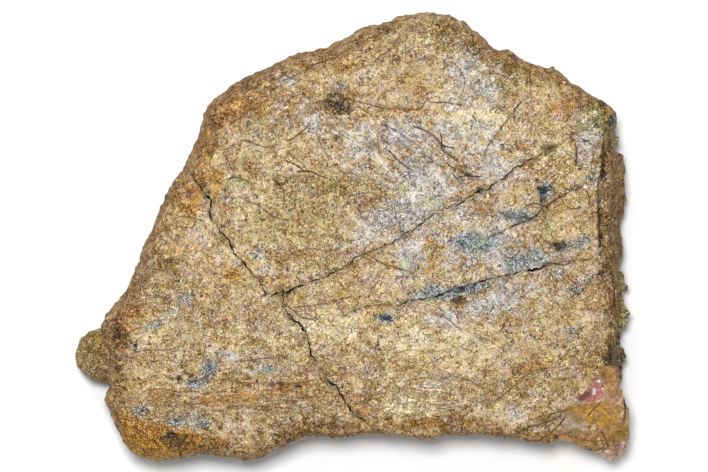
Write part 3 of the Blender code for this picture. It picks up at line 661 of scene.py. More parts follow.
# where the margin isn't browner than the rest
paleMargins = [
    (425, 428, 60, 12, 0.3), (150, 440, 44, 24, 1.0), (92, 355, 26, 30, 0.8), (610, 410, 26, 40, 1.1),
    (425, 18, 90, 16, 0.5), (598, 130, 18, 26, 0.6), (612, 118, 10, 16, 0.8), (585, 300, 26, 60, 0.6),
    (225, 172, 26, 24, 1.0), (513, 414, 24, 14, 1.0), (405, 405, 40, 14, 0.4), (450, 395, 60, 14, 0.5),
]
# the flaked corner's plates, as polygons in pixels
plates = {
    "orangePlate": [(598, 374), (606, 366), (617, 367), (620, 381), (606, 384)],
    "pinkPlate": [(605, 383), (620, 381), (624, 395), (628, 404), (614, 404), (606, 398)],
    "facet": [(597, 376), (602, 379), (607, 391), (605, 398), (596, 402), (584, 402), (577, 399), (590, 388)],
    "ochrePlate": [
        (560, 411), (577, 403), (590, 404), (602, 401), (614, 403), (622, 408), (624, 424), (604, 430), (596, 420),
        (590, 428), (584, 416), (566, 414),
    ],
    "greyPlate": [(562, 428), (566, 414), (584, 416), (590, 428), (578, 432), (566, 431)],
    "brownPlate": [
        (560, 431), (578, 432), (604, 430), (624, 424), (628, 404), (632, 424), (629, 442), (606, 447), (584, 448),
        (562, 440),
    ],
    "tipPlate": [(605, 449), (612, 445), (629, 441), (625, 455), (612, 462), (600, 456)],
}
# where the face is busy with flecks and, with a minus, where it is calm and smooth
busySpots = [
    (614, 215, 12, 90, 1.0), (613, 330, 8, 60, 0.8), (455, 42, 34, 16, 1.0, -30), (508, 84, 10, 20, 0.8),
    (608, 112, 14, 14, 1.0), (338, 103, 18, 14, 1.0), (226, 182, 18, 14, 0.4), (350, 184, 46, 11, 0.8),
    (300, 255, 44, 8, 0.9, -6), (390, 215, 18, 24, 0.7), (130, 312, 14, 34, 0.7, -25), (170, 292, 26, 26, 0.6),
    (150, 425, 44, 22, 1.0), (466, 173, 12, 9, 1.0), (580, 285, 26, 16, 0.8), (588, 356, 20, 16, 0.8),
    (455, 312, 18, 12, 0.6), (378, 375, 12, 40, 0.6), (520, 385, 40, 12, 0.5, 20), (90, 355, 24, 30, 0.8),
    (250, 335, 14, 12, 0.5), (245, 100, 40, 20, 0.4, 30), (300, 415, 40, 20, 0.5), (550, 152, 14, 12, 0.5),
    (548, 222, 10, 20, 0.7, 20), (440, 203, 26, 7, 0.6, 20), (410, 78, 36, 18, -0.7),
    (400, 150, 40, 22, -0.5, 30), (440, 110, 40, 16, -0.4), (465, 128, 36, 18, -0.8), (422, 185, 20, 22, -0.8),
    (508, 188, 24, 14, -0.6), (385, 282, 36, 14, -0.7), (470, 345, 60, 24, -0.6), (570, 330, 24, 30, -0.3),
    (245, 262, 24, 16, -0.6, 40), (214, 160, 12, 20, -0.7), (275, 215, 34, 22, -0.3), (355, 147, 22, 12, -0.6),
    (562, 222, 16, 14, -0.6), (505, 415, 30, 10, -0.6), (225, 398, 40, 8, -0.7), (190, 240, 20, 40, -0.3, -20),
    (340, 325, 30, 20, -0.4),
]
# thin dark lines on the upper face: the strength, then x and y in pixels for one point after another
lines = [
    (0.7, 346, 98, 358, 101, 366, 102.5, 374, 105, 381, 107, 392, 108.3, 410, 108.5, 418, 109.7, 422, 108,
     424.5, 104, 428, 98),
    (0.8, 431, 101.5, 438, 102.5, 444, 101.5, 450, 102, 456, 104, 462, 104),
    (0.9, 416, 126, 423, 129, 430, 132, 434, 135, 438, 139, 441, 143, 447, 146.5, 454, 147.5),
    (1.0, 441, 134, 443, 139, 441, 145, 443, 150, 447, 153, 453, 156, 458, 160),
    (0.6, 430, 161, 436, 163, 442, 166),
    (1.0, 448, 163, 452, 167, 458, 168, 462, 171, 467, 174, 472, 176, 480, 176),
    (0.4, 448, 179, 456, 181, 468, 184),
    (0.5, 412, 120, 418, 124, 424, 128),
    (0.6, 392, 128, 400, 132, 408, 138, 416, 143, 421, 147),
    (0.6, 400, 141, 406, 146, 412, 150),
    (0.6, 421, 153, 427, 155, 433, 159, 437, 165),
    (0.9, 390, 151, 395, 156, 399, 160, 405, 165, 412, 169),
    (0.6, 393, 164, 398, 168, 402, 173, 408, 179),
    (0.8, 360, 106, 364, 110, 369, 112),
    (0.6, 352, 118, 360, 119.5, 367, 120),
    (0.9, 288, 140, 294, 138, 299, 133, 305, 129, 309, 126),
    (0.6, 326, 130, 331, 133, 336, 135, 342, 134),
    (0.6, 330, 123, 335, 128, 341, 133, 347, 137),
    (0.5, 319, 138, 322, 146, 325, 151, 330, 156),
    (0.5, 291, 153, 297, 158, 303, 164),
    (0.9, 288, 161, 294, 163, 300, 166, 304, 170),
    (0.9, 300, 171, 309, 170, 315, 172, 321, 176, 326, 177),
    (0.6, 380, 134, 383, 139, 388, 143),
    (0.6, 352, 158, 354, 154, 358, 151, 363, 148),
    (0.7, 378, 136, 380, 143, 378, 148, 381, 154),
    (0.9, 526, 206, 532, 203, 539, 202.5, 543, 206.5, 548, 205, 556, 199.5, 561, 196),
    (0.9, 512, 226, 518, 223, 524, 222.5, 530, 218.5, 536, 215.5, 541, 211.5, 543, 207),
    (0.8, 560, 195, 563, 201, 568, 206, 573, 209.5, 580, 207),
    (0.9, 586, 189, 589, 193, 591, 198, 590, 203),
    (0.5, 460, 206, 468, 205, 474, 208, 480, 209, 488, 209),
    (0.5, 466, 212, 474, 213, 480, 214.5, 490, 215),
    (0.8, 501, 212, 508, 216.5, 516, 218, 524, 215.5, 530, 217),
    (0.5, 517, 228, 519, 236, 522, 243, 524, 247, 528, 249, 533, 250.5),
    (0.6, 525, 257, 524, 263, 528, 268, 534, 270),
    (0.7, 500, 250, 506, 256, 512, 258.5, 518, 254, 520, 249),
    (0.8, 543, 266, 549, 262, 555, 262.5, 562, 265, 568, 264, 571, 262),
    (0.6, 545, 251, 551, 253, 558, 250, 566, 247, 573, 244.5, 581, 243),
    (0.7, 497, 400, 504, 395, 511, 389, 519, 381, 526, 375, 534, 371, 544, 368, 556, 367.5, 562, 366),
    (0.6, 521, 372, 530, 375, 541, 371, 551, 370),
    (0.45, 530, 66, 531, 80, 532, 98, 533.5, 115, 537, 128, 545, 146),
    (0.7, 295, 307, 303, 306, 311, 305, 326, 303, 340, 299, 351, 296),
    (0.8, 289, 306, 296, 312, 303, 317.5, 312, 318.5),
    (0.8, 366, 253, 372, 256, 378, 260, 385, 264, 400, 268, 413, 272),
    (0.7, 541, 419.5, 550, 415, 560, 411.5, 570, 409),
    (0.7, 520, 431, 532, 426, 543, 424, 555, 419, 563, 415),
    (0.6, 500, 437, 512, 434, 524, 431),
    (0.9, 540, 440, 548, 436, 556, 430, 561, 424, 565, 419),
    (1.2, 626, 401, 627.5, 407, 627.3, 413, 626, 420),
    (0.8, 602, 402, 598, 406, 594, 410, 590, 415),
    (0.6, 570, 436, 582, 440, 595, 442, 607, 441),
    (0.8, 605, 434, 608, 440, 610, 447),
    (0.7, 232, 122, 240, 118, 247, 113, 255, 104, 262, 101),
    (0.8, 246, 140, 254, 142, 262, 146, 270, 147, 277, 144),
    (0.7, 230, 178, 238, 176, 246, 180, 252, 183),
    (0.7, 256, 203, 262, 207, 268, 212, 273, 216, 280, 219, 287, 219),
    (0.8, 276, 180, 281, 185, 285, 192, 285, 200),
    (0.6, 294, 232, 299, 235, 304, 236),
    (0.6, 240, 196, 247, 200, 252, 206),
    (0.5, 214, 232, 222, 240, 228, 247),
    (0.6, 175, 218, 184, 215, 193, 217, 203, 220),
    (0.5, 160, 262, 170, 258, 182, 260, 190, 264),
    (0.6, 150, 268, 161, 270, 172, 268),
    (0.7, 118, 345, 124, 336, 133, 330, 142, 327),
    (0.6, 134, 352, 150, 349, 166, 350, 180, 346),
    (0.7, 186, 384, 197, 380, 208, 376, 214, 371, 219, 360),
    (0.6, 236, 361, 252, 360, 268, 357, 286, 356),
    (0.6, 232, 381, 250, 383, 270, 382, 290, 384, 310, 380),
    (0.5, 225, 404, 244, 407, 264, 405, 284, 408, 300, 404),
    (0.5, 160, 404, 178, 401, 196, 404, 212, 402),
    (0.6, 150, 390, 164, 388, 180, 392, 196, 391),
    (0.5, 300, 344, 314, 350, 322, 357, 330, 359),
    (0.6, 310, 355, 318, 366, 326, 371, 338, 372),
    (0.5, 370, 340, 376, 350, 378, 360, 384, 368),
    (0.5, 398, 352, 412, 349, 428, 352, 444, 350),
    (0.5, 408, 380, 424, 377, 440, 380, 454, 374),
    (0.5, 400, 404, 420, 401, 440, 405, 462, 402),
    (0.6, 448, 372, 456, 377, 468, 378, 480, 386, 492, 390),
    (0.5, 468, 330, 476, 337, 488, 338, 496, 344),
    (0.6, 440, 306, 444, 316, 453, 322, 462, 330),
    (0.5, 400, 262, 404, 272, 402, 284, 408, 294),
    (0.5, 350, 196, 362, 192, 374, 194, 388, 190),
    (0.6, 300, 250, 314, 248, 328, 251, 340, 247),
    (0.5, 376, 62, 392, 58, 408, 62, 424, 58),
    (0.5, 352, 72, 366, 66, 378, 58, 392, 48),
    (0.6, 300, 72, 314, 64, 330, 58, 346, 50),
    (0.5, 262, 90, 276, 82, 290, 78, 304, 70),
    (0.6, 454, 62, 462, 70, 466, 80, 464, 90),
    (0.6, 478, 70, 488, 74, 498, 72, 508, 76),
    (0.7, 566, 134, 572, 134.5, 577, 132),
    (0.9, 576.5, 144, 578, 148, 577, 156, 577, 164),
    (0.6, 593, 148, 594, 156, 592, 164, 593, 172),
    (0.6, 585, 139, 592, 142, 597, 148),
    (0.7, 580, 131, 586, 128, 593, 129.5),
]
# where the bone's fibres run one way: the direction in degrees and the soft spots
fibreZones = {
    "flankFibres": (66, [(160, 240, 30, 110, 1.0, 22), (205, 140, 26, 50, 0.9, 20)]),
    "crestFibres": (32, [(270, 95, 80, 34, 1.0, -28), (400, 45, 90, 26, 0.6)]),
    "lowFibres": (2, [(250, 395, 170, 34, 1.0), (450, 400, 130, 26, 0.7), (470, 345, 110, 20, 0.5)]),
    "slantFibres": (-38, [
        (430, 155, 62, 26, 1.0, -38), (385, 135, 30, 20, 0.7, -50), (505, 235, 40, 30, 0.5, -50),
    ]),
    "middleFibres": (24, [(270, 180, 50, 50, 0.6), (350, 285, 60, 18, 0.6, 20), (540, 190, 40, 24, 0.5, 30)]),
    "rightFibres": (86, [(612, 220, 14, 110, 1.3), (606, 330, 8, 60, 0.8)]),
}
lineSettings = {
    # the lines are kept in groups, so that each point of the bone has at most one line of a group near it
    "groups": 3,
    "reach": 1.7 * mm,  # lines of one group keep at least twice this apart
    "spacing": 1.1 * mm,
}


def smoothPath(places):
    # the points on the face, evenly resampled, then each averaged with its neighbours
    _, path = evenly(onFace(*np.reshape(places, (-1, 2)).T), lineSettings["spacing"])
    path = np.stack(path, axis=1)
    for _ in range(2):
        path[1:-1] = (path[:-2] + 2 * path[1:-1] + path[2:]) / 4
    return path


def sortedLines():
    # each line goes into the first group whose lines all stay clear of it
    groups = [[] for _ in range(lineSettings["groups"])]
    for strength, *places in lines:
        path = smoothPath(places)
        for group in groups:
            gaps = [np.hypot(*(path[:, None] - other[None]).transpose(2, 0, 1)).min() for _, other in group]
            if not gaps or min(gaps) > 2 * lineSettings["reach"]:
                group.append((strength, path))
                break
    return groups


def lineMasks(x, y, group):
    # the distance from the nearest line, positive on its left, and its strength faded out over its reach
    reach = lineSettings["reach"]
    nearest, side, strength = np.full(len(x), farAway), np.zeros(len(x)), np.zeros(len(x))
    for power, path in group:
        low, high = path.min(0) - 2 * reach, path.max(0) + 2 * reach
        near = np.flatnonzero((x > low[0]) & (x < high[0]) & (y > low[1]) & (y < high[1]))
        for start, end in zip(path[:-1], path[1:]):
            gap = toRun(x[near], y[near], start, end)
            run = end - start
            left = run[0] * (y[near] - start[1]) - run[1] * (x[near] - start[0])
            closer = gap < nearest[near]
            chosen = near[closer]
            nearest[chosen] = gap[closer]
            side[chosen] = (gap * np.sign(left))[closer]
            strength[chosen] = power
    return side, strength * smoothStep(reach, 0.6 * reach, nearest)


def insideBy(x, y, corners):
    # the distance to the polygon's edge, positive inside by the even-odd rule and negative outside
    px, py = onFace(*np.array(corners, float).T)
    closed = np.stack([np.append(px, px[0]), np.append(py, py[0])], axis=1)
    inside = np.zeros(len(x), bool)
    for (x0, y0), (x1, y1) in zip(closed[:-1], closed[1:]):
        crosses = (y0 > y) != (y1 > y)
        inside ^= crosses & (x < x0 + (y - y0) * (x1 - x0) / (y1 - y0 if y1 != y0 else 1.0))
    return np.where(inside, 1, -1) * distanceToPath(x, y, closed)


def boneMarks(mesh):
    # a number at each point: stains, fibres, plates, lines, nearness to outline and cracks, walls and underside,
    # and where painted shade and a painted highlight go
    at, normal = np.zeros((len(mesh.vertices), 3)), np.zeros((len(mesh.vertices), 3))
    mesh.vertices.foreach_get("co", at.ravel())
    mesh.vertices.foreach_get("normal", normal.ravel())
    x, y, z = at.T
    marks = {name: softSpots(x, y, spots) for name, spots in stains.items()}
    marks |= {name: softSpots(x, y, spots) for name, (_, spots) in fibreZones.items()}
    marks |= {name: np.clip(insideBy(x, y, corners) / mm, -6, 6) for name, corners in plates.items()}
    for number, group in enumerate(sortedLines()):
        print("lines", number, len(group))
        side, near = lineMasks(x, y, group)
        marks[f"lineSide{number}"] = np.clip(side / mm, -2, 2)
        marks[f"lineNear{number}"] = near
    ring = outlineStations(88, 67)[:, :2]
    marks["fromEdge"] = distanceToPath(x, y, np.concatenate([ring, ring[:1]])) / mm
    marks["margin"] = np.clip(1 - softSpots(x, y, paleMargins), 0, 1)
    marks["busy"] = softSpots(x, y, busySpots)
    tracks = [np.stack(onFace(*np.array(path)[:, :2].T), axis=1) for path in cracks["paths"].values()]
    marks["fromCrack"] = np.min([distanceToPath(x, y, track) for track in tracks], axis=0) / mm
    face = faceHeight(x, y)
    marks["below"] = (np.minimum(face, flakeHeight(x, y, face)) - z) / mm
    # painted shade: the faces that look down, and darker still the low foot of the walls
    marks["under"] = smoothStep(0.1, -0.4, normal[:, 2])
    marks["foot"] = smoothStep(17 * mm, 10 * mm, z) * smoothStep(0.10, -0.25, normal[:, 2])
    # where a painted highlight goes: high on the walls that face down the picture
    marks["rim"] = smoothStep(24 * mm, 17 * mm, z) * smoothStep(-0.1, -0.6, normal[:, 1])
    return marks


def keep(piece, name, values):
    attribute = piece.data.attributes.new(name, "FLOAT", "POINT")
    attribute.data.foreach_set("value", values.astype(np.float32))


marks = boneMarks(bone.data)
for name, values in marks.items():
    keep(bone, name, values)

# The nodes that the materials are woven from: the end of Blender's name, its options, the inputs in their order
# and the output. Centred takes off the half that Blender leaves in its second input.
nodeKinds = {
    "add": ("Math", {"operation": "ADD"}, (0, 1), 0),
    "times": ("Math", {"operation": "MULTIPLY"}, (0, 1), 0),
    "most": ("Math", {"operation": "MAXIMUM"}, (0, 1), 0),
    "least": ("Math", {"operation": "MINIMUM"}, (0, 1), 0),
    "less": ("Math", {"operation": "SUBTRACT"}, (0, 1), 0),
    "centred": ("Math", {"operation": "SUBTRACT"}, (0,), 0),
    "size": ("Math", {"operation": "ABSOLUTE"}, (0,), 0),
    "band": ("MapRange", {"interpolation_type": "SMOOTHSTEP"}, ("Value", "From Min", "From Max"), 0),
    "mark": ("Attribute", {}, (), "Fac"),
    "place": ("TexCoord", {}, (), "Object"),
    "moved": ("Mapping", {}, ("Vector", "Location", "Rotation"), 0),
    "drawnOut": ("Mapping", {}, ("Vector", "Scale"), 0),
    "noise": ("TexNoise", {}, ("Vector", "Scale", "Detail", "Roughness", "Distortion"), 0),
    "hues": ("TexNoise", {}, ("Vector", "Scale"), "Color"),
    "chips": ("TexVoronoi", {}, ("Vector", "Scale"), "Color"),
    "chipEdges": ("TexVoronoi", {"feature": "DISTANCE_TO_EDGE"}, ("Vector", "Scale"), "Distance"),
    "pushed": ("VectorMath", {"operation": "ADD"}, (0, 1), 0),
    "pulled": ("VectorMath", {"operation": "SUBTRACT"}, (0, 1), 0),
    "notBelow": ("VectorMath", {"operation": "MAXIMUM"}, (0, 1), 0),
    "scaled": ("VectorMath", {"operation": "SCALE"}, (0, "Scale"), 0),
    "gamma": ("Gamma", {}, ("Color", "Gamma"), 0),
    "blend": ("Mix", {"data_type": "RGBA"}, (0, 6, 7), 2),
    "bump": ("Bump", {}, ("Height", "Distance", "Strength"), 0),
}


def fill(made, inputs):
    # each input gets a link, a number or a hex colour
    for socket, value in inputs.items():
        if isinstance(value, bpy.types.NodeSocket):
            made.id_data.links.new(value, made.inputs[socket])
        else:
            made.inputs[socket].default_value = linear(value) if isinstance(value, str) else value


def node(tree, kind, *values, **options):
    # adds a node of the kind with its options and links; a sum, product or limit takes as many values as come
    if kind in ("add", "times", "most") and len(values) != 2:
        return values[0] if len(values) == 1 else node(tree, kind, node(tree, kind, *values[:-1]), values[-1])
    name, settings, inputs, output = nodeKinds[kind]
    made = tree.nodes.new("ShaderNode" + name)
    for option, value in {**settings, **options}.items():
        setattr(made, option, value)
    fill(made, dict(zip(inputs, values)))
    return made.outputs[output]


def started(name):
    # a new material, what adds a node to it, and the place on the piece in millimetres
    material = bpy.data.materials.new(name)
    material.use_nodes = True
    put = functools.partial(node, material.node_tree)
    return material, put, put("scaled", put("place"), 1 / mm)


def finished(material, looks):
    fill(material.node_tree.nodes["Principled BSDF"], looks)
    return material


def weighed(put, *pairs):
    # the sum of each value times its weight
    return put("add", *[put("times", value, weight) for value, weight in pairs])


def swung(put, *pairs):
    # the sum of each value less a half, times its weight
    return weighed(put, *[(put("centred", value), weight) for value, weight in pairs])


def layered(put, colour, *layers):
    # the layers laid over the colour in turn, each a mask, how much it covers at the most, and a tint
    for mask, most, tint in layers:
        colour = put("blend", put("times", mask, most), colour, tint)
    return colour


def bent(put, place, size, amount):
    # the place pushed about by coloured noise of this size: place + amount (noise - 0.5)
    push = put("pulled", put("hues", place, 1 / size), (0.5, 0.5, 0.5))
    return put("pushed", place, put("scaled", push, amount))


boneFinish = {
    # size in millimetres, detail, roughness, distortion, where it starts, and whether it lies in the bent place
    "noises": {
        "broad": (12.0, 3.0, 0.58, 0.0, (0, 0, 0), True),
        "patch": (4.6, 3.0, 0.62, 0.0, (31, 7, 3), False),
        "ragged": (2.2, 3.0, 0.72, 0.0, (5, 61, 9), False),
        "fine": (0.60, 1.0, 0.7, 0.0, (17, 3, 41), False),
        "hue": (6.0, 2.0, 0.58, 0.0, (14, 88, 2), True),
        "otherHue": (5.0, 2.0, 0.58, 0.0, (64, 18, 12), True),
        "edging": (5.5, 4.0, 0.78, 0.0, (3, 47, 20), False),
        "which": (9.0, 2.0, 0.6, 0.0, (2, 33, 71), False),
        "busyNoise": (17.0, 3.0, 0.6, 0.0, (90, 12, 7), False),
        "worm": (4.4, 2.0, 0.65, 1.6, (0, 0, 0), True),
        "vein": (8.0, 4.0, 0.62, 0.5, (12, 40, 30), False),
        "curl": (2.3, 1.0, 0.5, 1.1, (23, 54, 6), False),
        "fleck": (1.3, 1.5, 0.6, 0.0, (71, 3, 5), False),
        "speck": (1.5, 1.0, 0.5, 0.0, (8, 21, 3), False),
        "warmth": (7.0, 3.0, 0.7, 0.0, (44, 9, 81), False),
    },
    # tint, how much it covers, and which of the two raggings its edge has; slate takes its tint from greyBlue
    "stains": {
        "cream": ("#FDE6BC", 0.80, 0), "ochre": ("#D29810", 0.85, 1), "olive": ("#A78C3A", 0.65, 0),
        "rust": ("#D08F38", 0.80, 1), "lilac": ("#E2D8D4", 0.80, 0), "pink": ("#DCA08A", 0.80, 1),
        "lime": ("#CFCF98", 0.80, 1), "slate": (None, 0.85, 1), "ink": ("#4C5256", 0.90, 0),
        "umber": ("#4E340A", 0.85, 0),
    },
    "greyBlue": ("#868E94", "#CCD2D6"),
    "plates": {
        "brownPlate": ("#B48254", "#A27A3C"), "ochrePlate": ("#D8A030", "#C08A50"),
        "tipPlate": ("#CEA99E", "#AC8468"), "orangePlate": ("#D2985E", "#C08850"),
        "pinkPlate": ("#D29A7C", "#C49064"), "greyPlate": ("#C2A694", "#B2905E"),
    },
    # how much darker each kind of mark makes the bone, in the eye's scale
    "darkening": {
        "shade": 0.37, "worms": 0.42, "streaks": 0.34, "hairs": 0.34, "chips": 0.50, "curls": 0.46, "veins": 0.54,
        "flakeRims": 0.36,
    },
    "eye": 2.2,
    "lift": (0.022, 0.040, 0.034),
    "warming": (0.02, 0.005, -0.15),
    "darkestSeen": (0.10, 0.06, 0.02),
}


def detailed(put, colour, tone, warmth):
    # the detail is added in the scale that the eye sees by: colour ^ (1 / eye) + tone + lift + warming times
    # warmth, not below the darkest, and then ^ eye
    seen = put("gamma", colour, 1 / boneFinish["eye"])
    for shift in (tone, boneFinish["lift"], put("scaled", boneFinish["warming"], warmth)):
        seen = put("pushed", seen, shift)
    return put("gamma", put("notBelow", seen, boneFinish["darkestSeen"]), boneFinish["eye"])


def fossilBone():
    # permineralised bone with a worn skin: tan mottling and ragged stains, darker and browner towards the margins
    # and on the walls; over it fibres, strokes, fine cracks, curls, flecks and pale specks, some of them drawn a
    # little coarser than they are so that they show; the same patterns are its relief, and the facet is polished
    material, put, place = started("fossilBone")
    mark = {name: put("mark", attribute_name=name) for name in marks}
    warped = bent(put, place, 6.0, 3.5)
    noises = [
        put("noise", put("moved", warped if isBent else place, start), 1 / size, detail, rough, distortion)
        for size, detail, rough, distortion, start, isBent in boneFinish["noises"].values()
    ]
    broad, patch, ragged, fine, hue, otherHue, edging, *others = noises
    which, busyNoise, worm, vein, curl, fleck, speck, warmth = others

    colour = put("blend", put("band", broad, 0.36, 0.62), "#DAB688", "#EDD0A8")
    mottles = (
        (patch, 0.52, 0.66, 0.40, "#E0C4A6"), (patch, 0.46, 0.32, 0.42, "#D2A468"),
        (hue, 0.53, 0.64, 0.42, "#AE9654"), (hue, 0.46, 0.35, 0.40, "#DEA262"),
        (otherHue, 0.52, 0.64, 0.55, "#E2C6B6"),
    )
    for value, low, high, most, tint in mottles:
        colour = layered(put, colour, (put("band", value, low, high), most, tint))

    # two raggings, so that the stains' edges don't run together
    raggings = (
        swung(put, (patch, 1.5), (ragged, 1.9), (fine, 0.4)),
        swung(put, (edging, -1.7), (ragged, -1.6), (fine, 0.4)),
    )
    greyBlue = put("blend", put("band", fine, 0.42, 0.60), *boneFinish["greyBlue"])
    for name, (tint, most, ragging) in boneFinish["stains"].items():
        mask = put("band", put("add", put("times", mark[name], 1.25), raggings[ragging]), 0.22, 0.80)
        colour = layered(put, colour, (mask, most, tint or greyBlue))

    # margins and walls; then painted shade on the underside that looks down, and darker painted shade on the low
    # foot of the walls, which stands in its own shade
    margin = put("band", put("add", mark["fromEdge"], swung(put, (patch, 22.0))), 13.0, 2.0)
    walls = put("times", put("band", mark["below"], 3.0, 8.0), mark["margin"])
    wallTint = put("blend", put("band", ragged, 0.4, 0.6), "#8C612E", "#CA9E58")
    underPaintedShade = put("blend", put("band", broad, 0.35, 0.65), "#8A7150", "#B1966C")
    colour = layered(
        put, colour, (put("times", margin, mark["margin"]), 0.70, "#946418"), (walls, 0.75, wallTint),
        (mark["under"], 0.8, underPaintedShade), (mark["foot"], 0.85, "#33220E"),
    )

    # the corner's plates
    sway, onPlate = swung(put, (ragged, 3.4), (fine, 1.0)), 0.0
    for name, (tint, other) in boneFinish["plates"].items():
        mask = put("band", put("add", mark[name], sway), -0.9, 0.9)
        onPlate = put("most", onPlate, mask)
        colour = layered(put, colour, (mask, 0.9, put("blend", put("band", patch, 0.56, 0.44), tint, other)))

    # fibres: noise drawn out along each zone's direction
    fibres, streaks = [], []
    for name, (turn, _) in fibreZones.items():
        along = put("moved", warped, (0, 0, 0), (0, 0, -math.radians(turn)))
        strand = put("centred", put("noise", put("drawnOut", along, (0.17, 1.0, 1.0)), 1 / 1.6, 2.0, 0.6))
        zone = put("band", mark[name], 0.1, 0.9)
        fibres.append(put("times", strand, zone))
        streaks.append(put("times", put("band", put("size", strand), 0.035, 0.006), zone))
    fibre = put("add", *fibres)
    streaks = put("times", put("add", *streaks), put("band", ragged, 0.38, 0.54))

    # strokes that swirl: drawn-out noise in a space that is bent in large whorls, in two layers
    swirl = put("moved", bent(put, place, 24.0, 20.0), (7, 5, 3), (0, 0, 0.7))
    other = bent(put, put("moved", place, (50, 20, 9), (0, 0, 1.9)), 13.0, 13.0)
    longer = put("noise", put("drawnOut", swirl, (0.33, 1, 1)), 1 / 0.82, 2.5, 0.74)
    cross = put("noise", put("drawnOut", other, (0.38, 1, 1)), 1 / 0.76, 2.5, 0.76)
    here = put("band", which, 0.46, 0.54)
    strokes = swung(put, (longer, here), (cross, put("less", 1.0, here)))

    # some areas are smooth and others busy with detail
    busy = weighed(put, (put("band", busyNoise, 0.40, 0.62), 0.4), (put("band", patch, 0.56, 0.40), 0.35))
    busy = put("least", put("most", put("add", busy, mark["busy"]), 0.0), 1.1)

    # small chips, each a little lighter or darker than the next, and flecks of dark and pale
    crumpled = bent(put, place, 1.7, 1.9)
    chipTone = put("centred", put("chips", crumpled, 1 / 2.1))
    flakeTone = put("centred", put("chips", put("moved", warped, (3, 3, 3), (0, 0, 0.5)), 1 / 5.2))
    darkFleck = put("add", swung(put, (broad, -0.6)), weighed(put, (mark["slate"], 0.06), (mark["olive"], 0.05)))
    darkFleck = put("add", fleck, darkFleck)
    chips = put("band", darkFleck, 0.68, 0.76)
    specks = put("band", put("add", speck, swung(put, (patch, 0.5))), 0.74, 0.80)

    # thin lines where a noise crosses its middle, broken up in patches: the value, then where the line is gone
    # and where it is full, and the value that breaks it up with its two ends
    busyRagged = put("add", ragged, put("times", busy, 0.06))
    crossings = (
        (put("centred", worm), 0.028, 0.004, ragged, 0.36, 0.54),
        (strokes, 0.045, 0.008, patch, 0.66, 0.46),
        (put("centred", vein), 0.015, 0.005, hue, 0.60, 0.46),
        (put("centred", curl), 0.030, 0.006, busyRagged, 0.47, 0.56),
    )
    worms, hairs, veins, curls = (
        put("times", put("band", put("size", value), wide, thin), put("band", where, none, full))
        for value, wide, thin, where, none, full in crossings
    )
    rimsHere = put("band", weighed(put, (hue, -1.0), (busy, 0.05)), -0.52, -0.45)
    flakeRims = put("times", put("band", put("chipEdges", crumpled, 1 / 2.6), 0.075, 0.02), rimsHere)

    # the drawn lines, each with a ragged side and a stain beside it
    lineSway = swung(put, (ragged, 1.2))
    lineSwell = put("add", 0.3, put("times", put("band", patch, 0.40, 0.58), 0.8))
    drawn, beside = 0.0, 0.0
    for number in range(lineSettings["groups"]):
        near = mark[f"lineNear{number}"]
        away = put("size", put("add", mark[f"lineSide{number}"], lineSway))
        width = put("add", 0.03, put("times", near, lineSwell, 0.26))
        drawn = put("most", drawn, put("times", near, put("band", put("less", away, width), 0.08, -0.06)))
        beside = put("most", beside, put("times", near, put("band", away, 1.1, 0.2)))

    # light and dark together, calmer on the plates and calmest on the polished facet
    smooth = put("band", put("add", mark["facet"], swung(put, (ragged, 1.4))), -0.2, 0.3)
    calm, calmer = (put("less", 1.0, put("times", onPlate, share)) for share in (0.5, 0.6))
    busier = put("times", put("add", 0.38, put("times", busy, 0.85)), calmer)
    light = put(
        "add", put("times", put("centred", fine), busier, 9.5), put("times", fibre, 4.6),
        put("times", strokes, busier, 5.4), put("times", put("centred", ragged), calm, 0.5),
        put("times", chipTone, busier, 0.15), put("times", flakeTone, 0.15),
    )
    light = put("times", light, put("less", 1.0, put("times", smooth, 0.8)))
    dark = {
        "shade": put("band", light, -0.25, -1.45), "worms": worms, "streaks": streaks, "curls": curls,
        "hairs": put("times", hairs, busy), "chips": put("times", chips, busy), "veins": veins,
        "flakeRims": flakeRims,
    }
    darkest = put("most", *[put("times", mask, boneFinish["darkening"][name]) for name, mask in dark.items()])
    # a painted highlight: a pale line near the edge, high on the walls that face down the picture
    rim = put("times", put("band", mark["fromEdge"], 1.7, 0.6), mark["rim"], put("band", ragged, 0.36, 0.50))
    tone = weighed(
        put, (put("band", light, 0.20, 1.5), 0.14), (specks, 0.30),
        (darkest, put("add", -1.0, put("times", onPlate, 0.6))), (rim, 0.24),
    )
    colour = detailed(put, colour, tone, swung(put, (warmth, 2.0)))

    # lines; cracks, with a brown band along them that is partly stain and partly painted shade, and inside them
    # dark dirt and painted shade; the facet's polish; painted glints on the facet and white crystals
    crackStainAndShade = put("band", put("add", mark["fromCrack"], swung(put, (ragged, 3.0))), 1.2, 0.0)
    crackDirtAndShade = put("times", put("band", mark["below"], 0.15, 1.0), put("band", mark["fromCrack"], 2.4, 1.6),
                  put("band", mark["fromEdge"], 8.0, 10.0))
    polish = put("blend", put("band", ragged, 0.46, 0.58), "#AE6862", "#D8A498")
    pale = put("band", put("add", hue, put("times", mark["pink"], 0.12)), 0.50, 0.60)
    polish = put("blend", pale, "#7E3A36", polish)
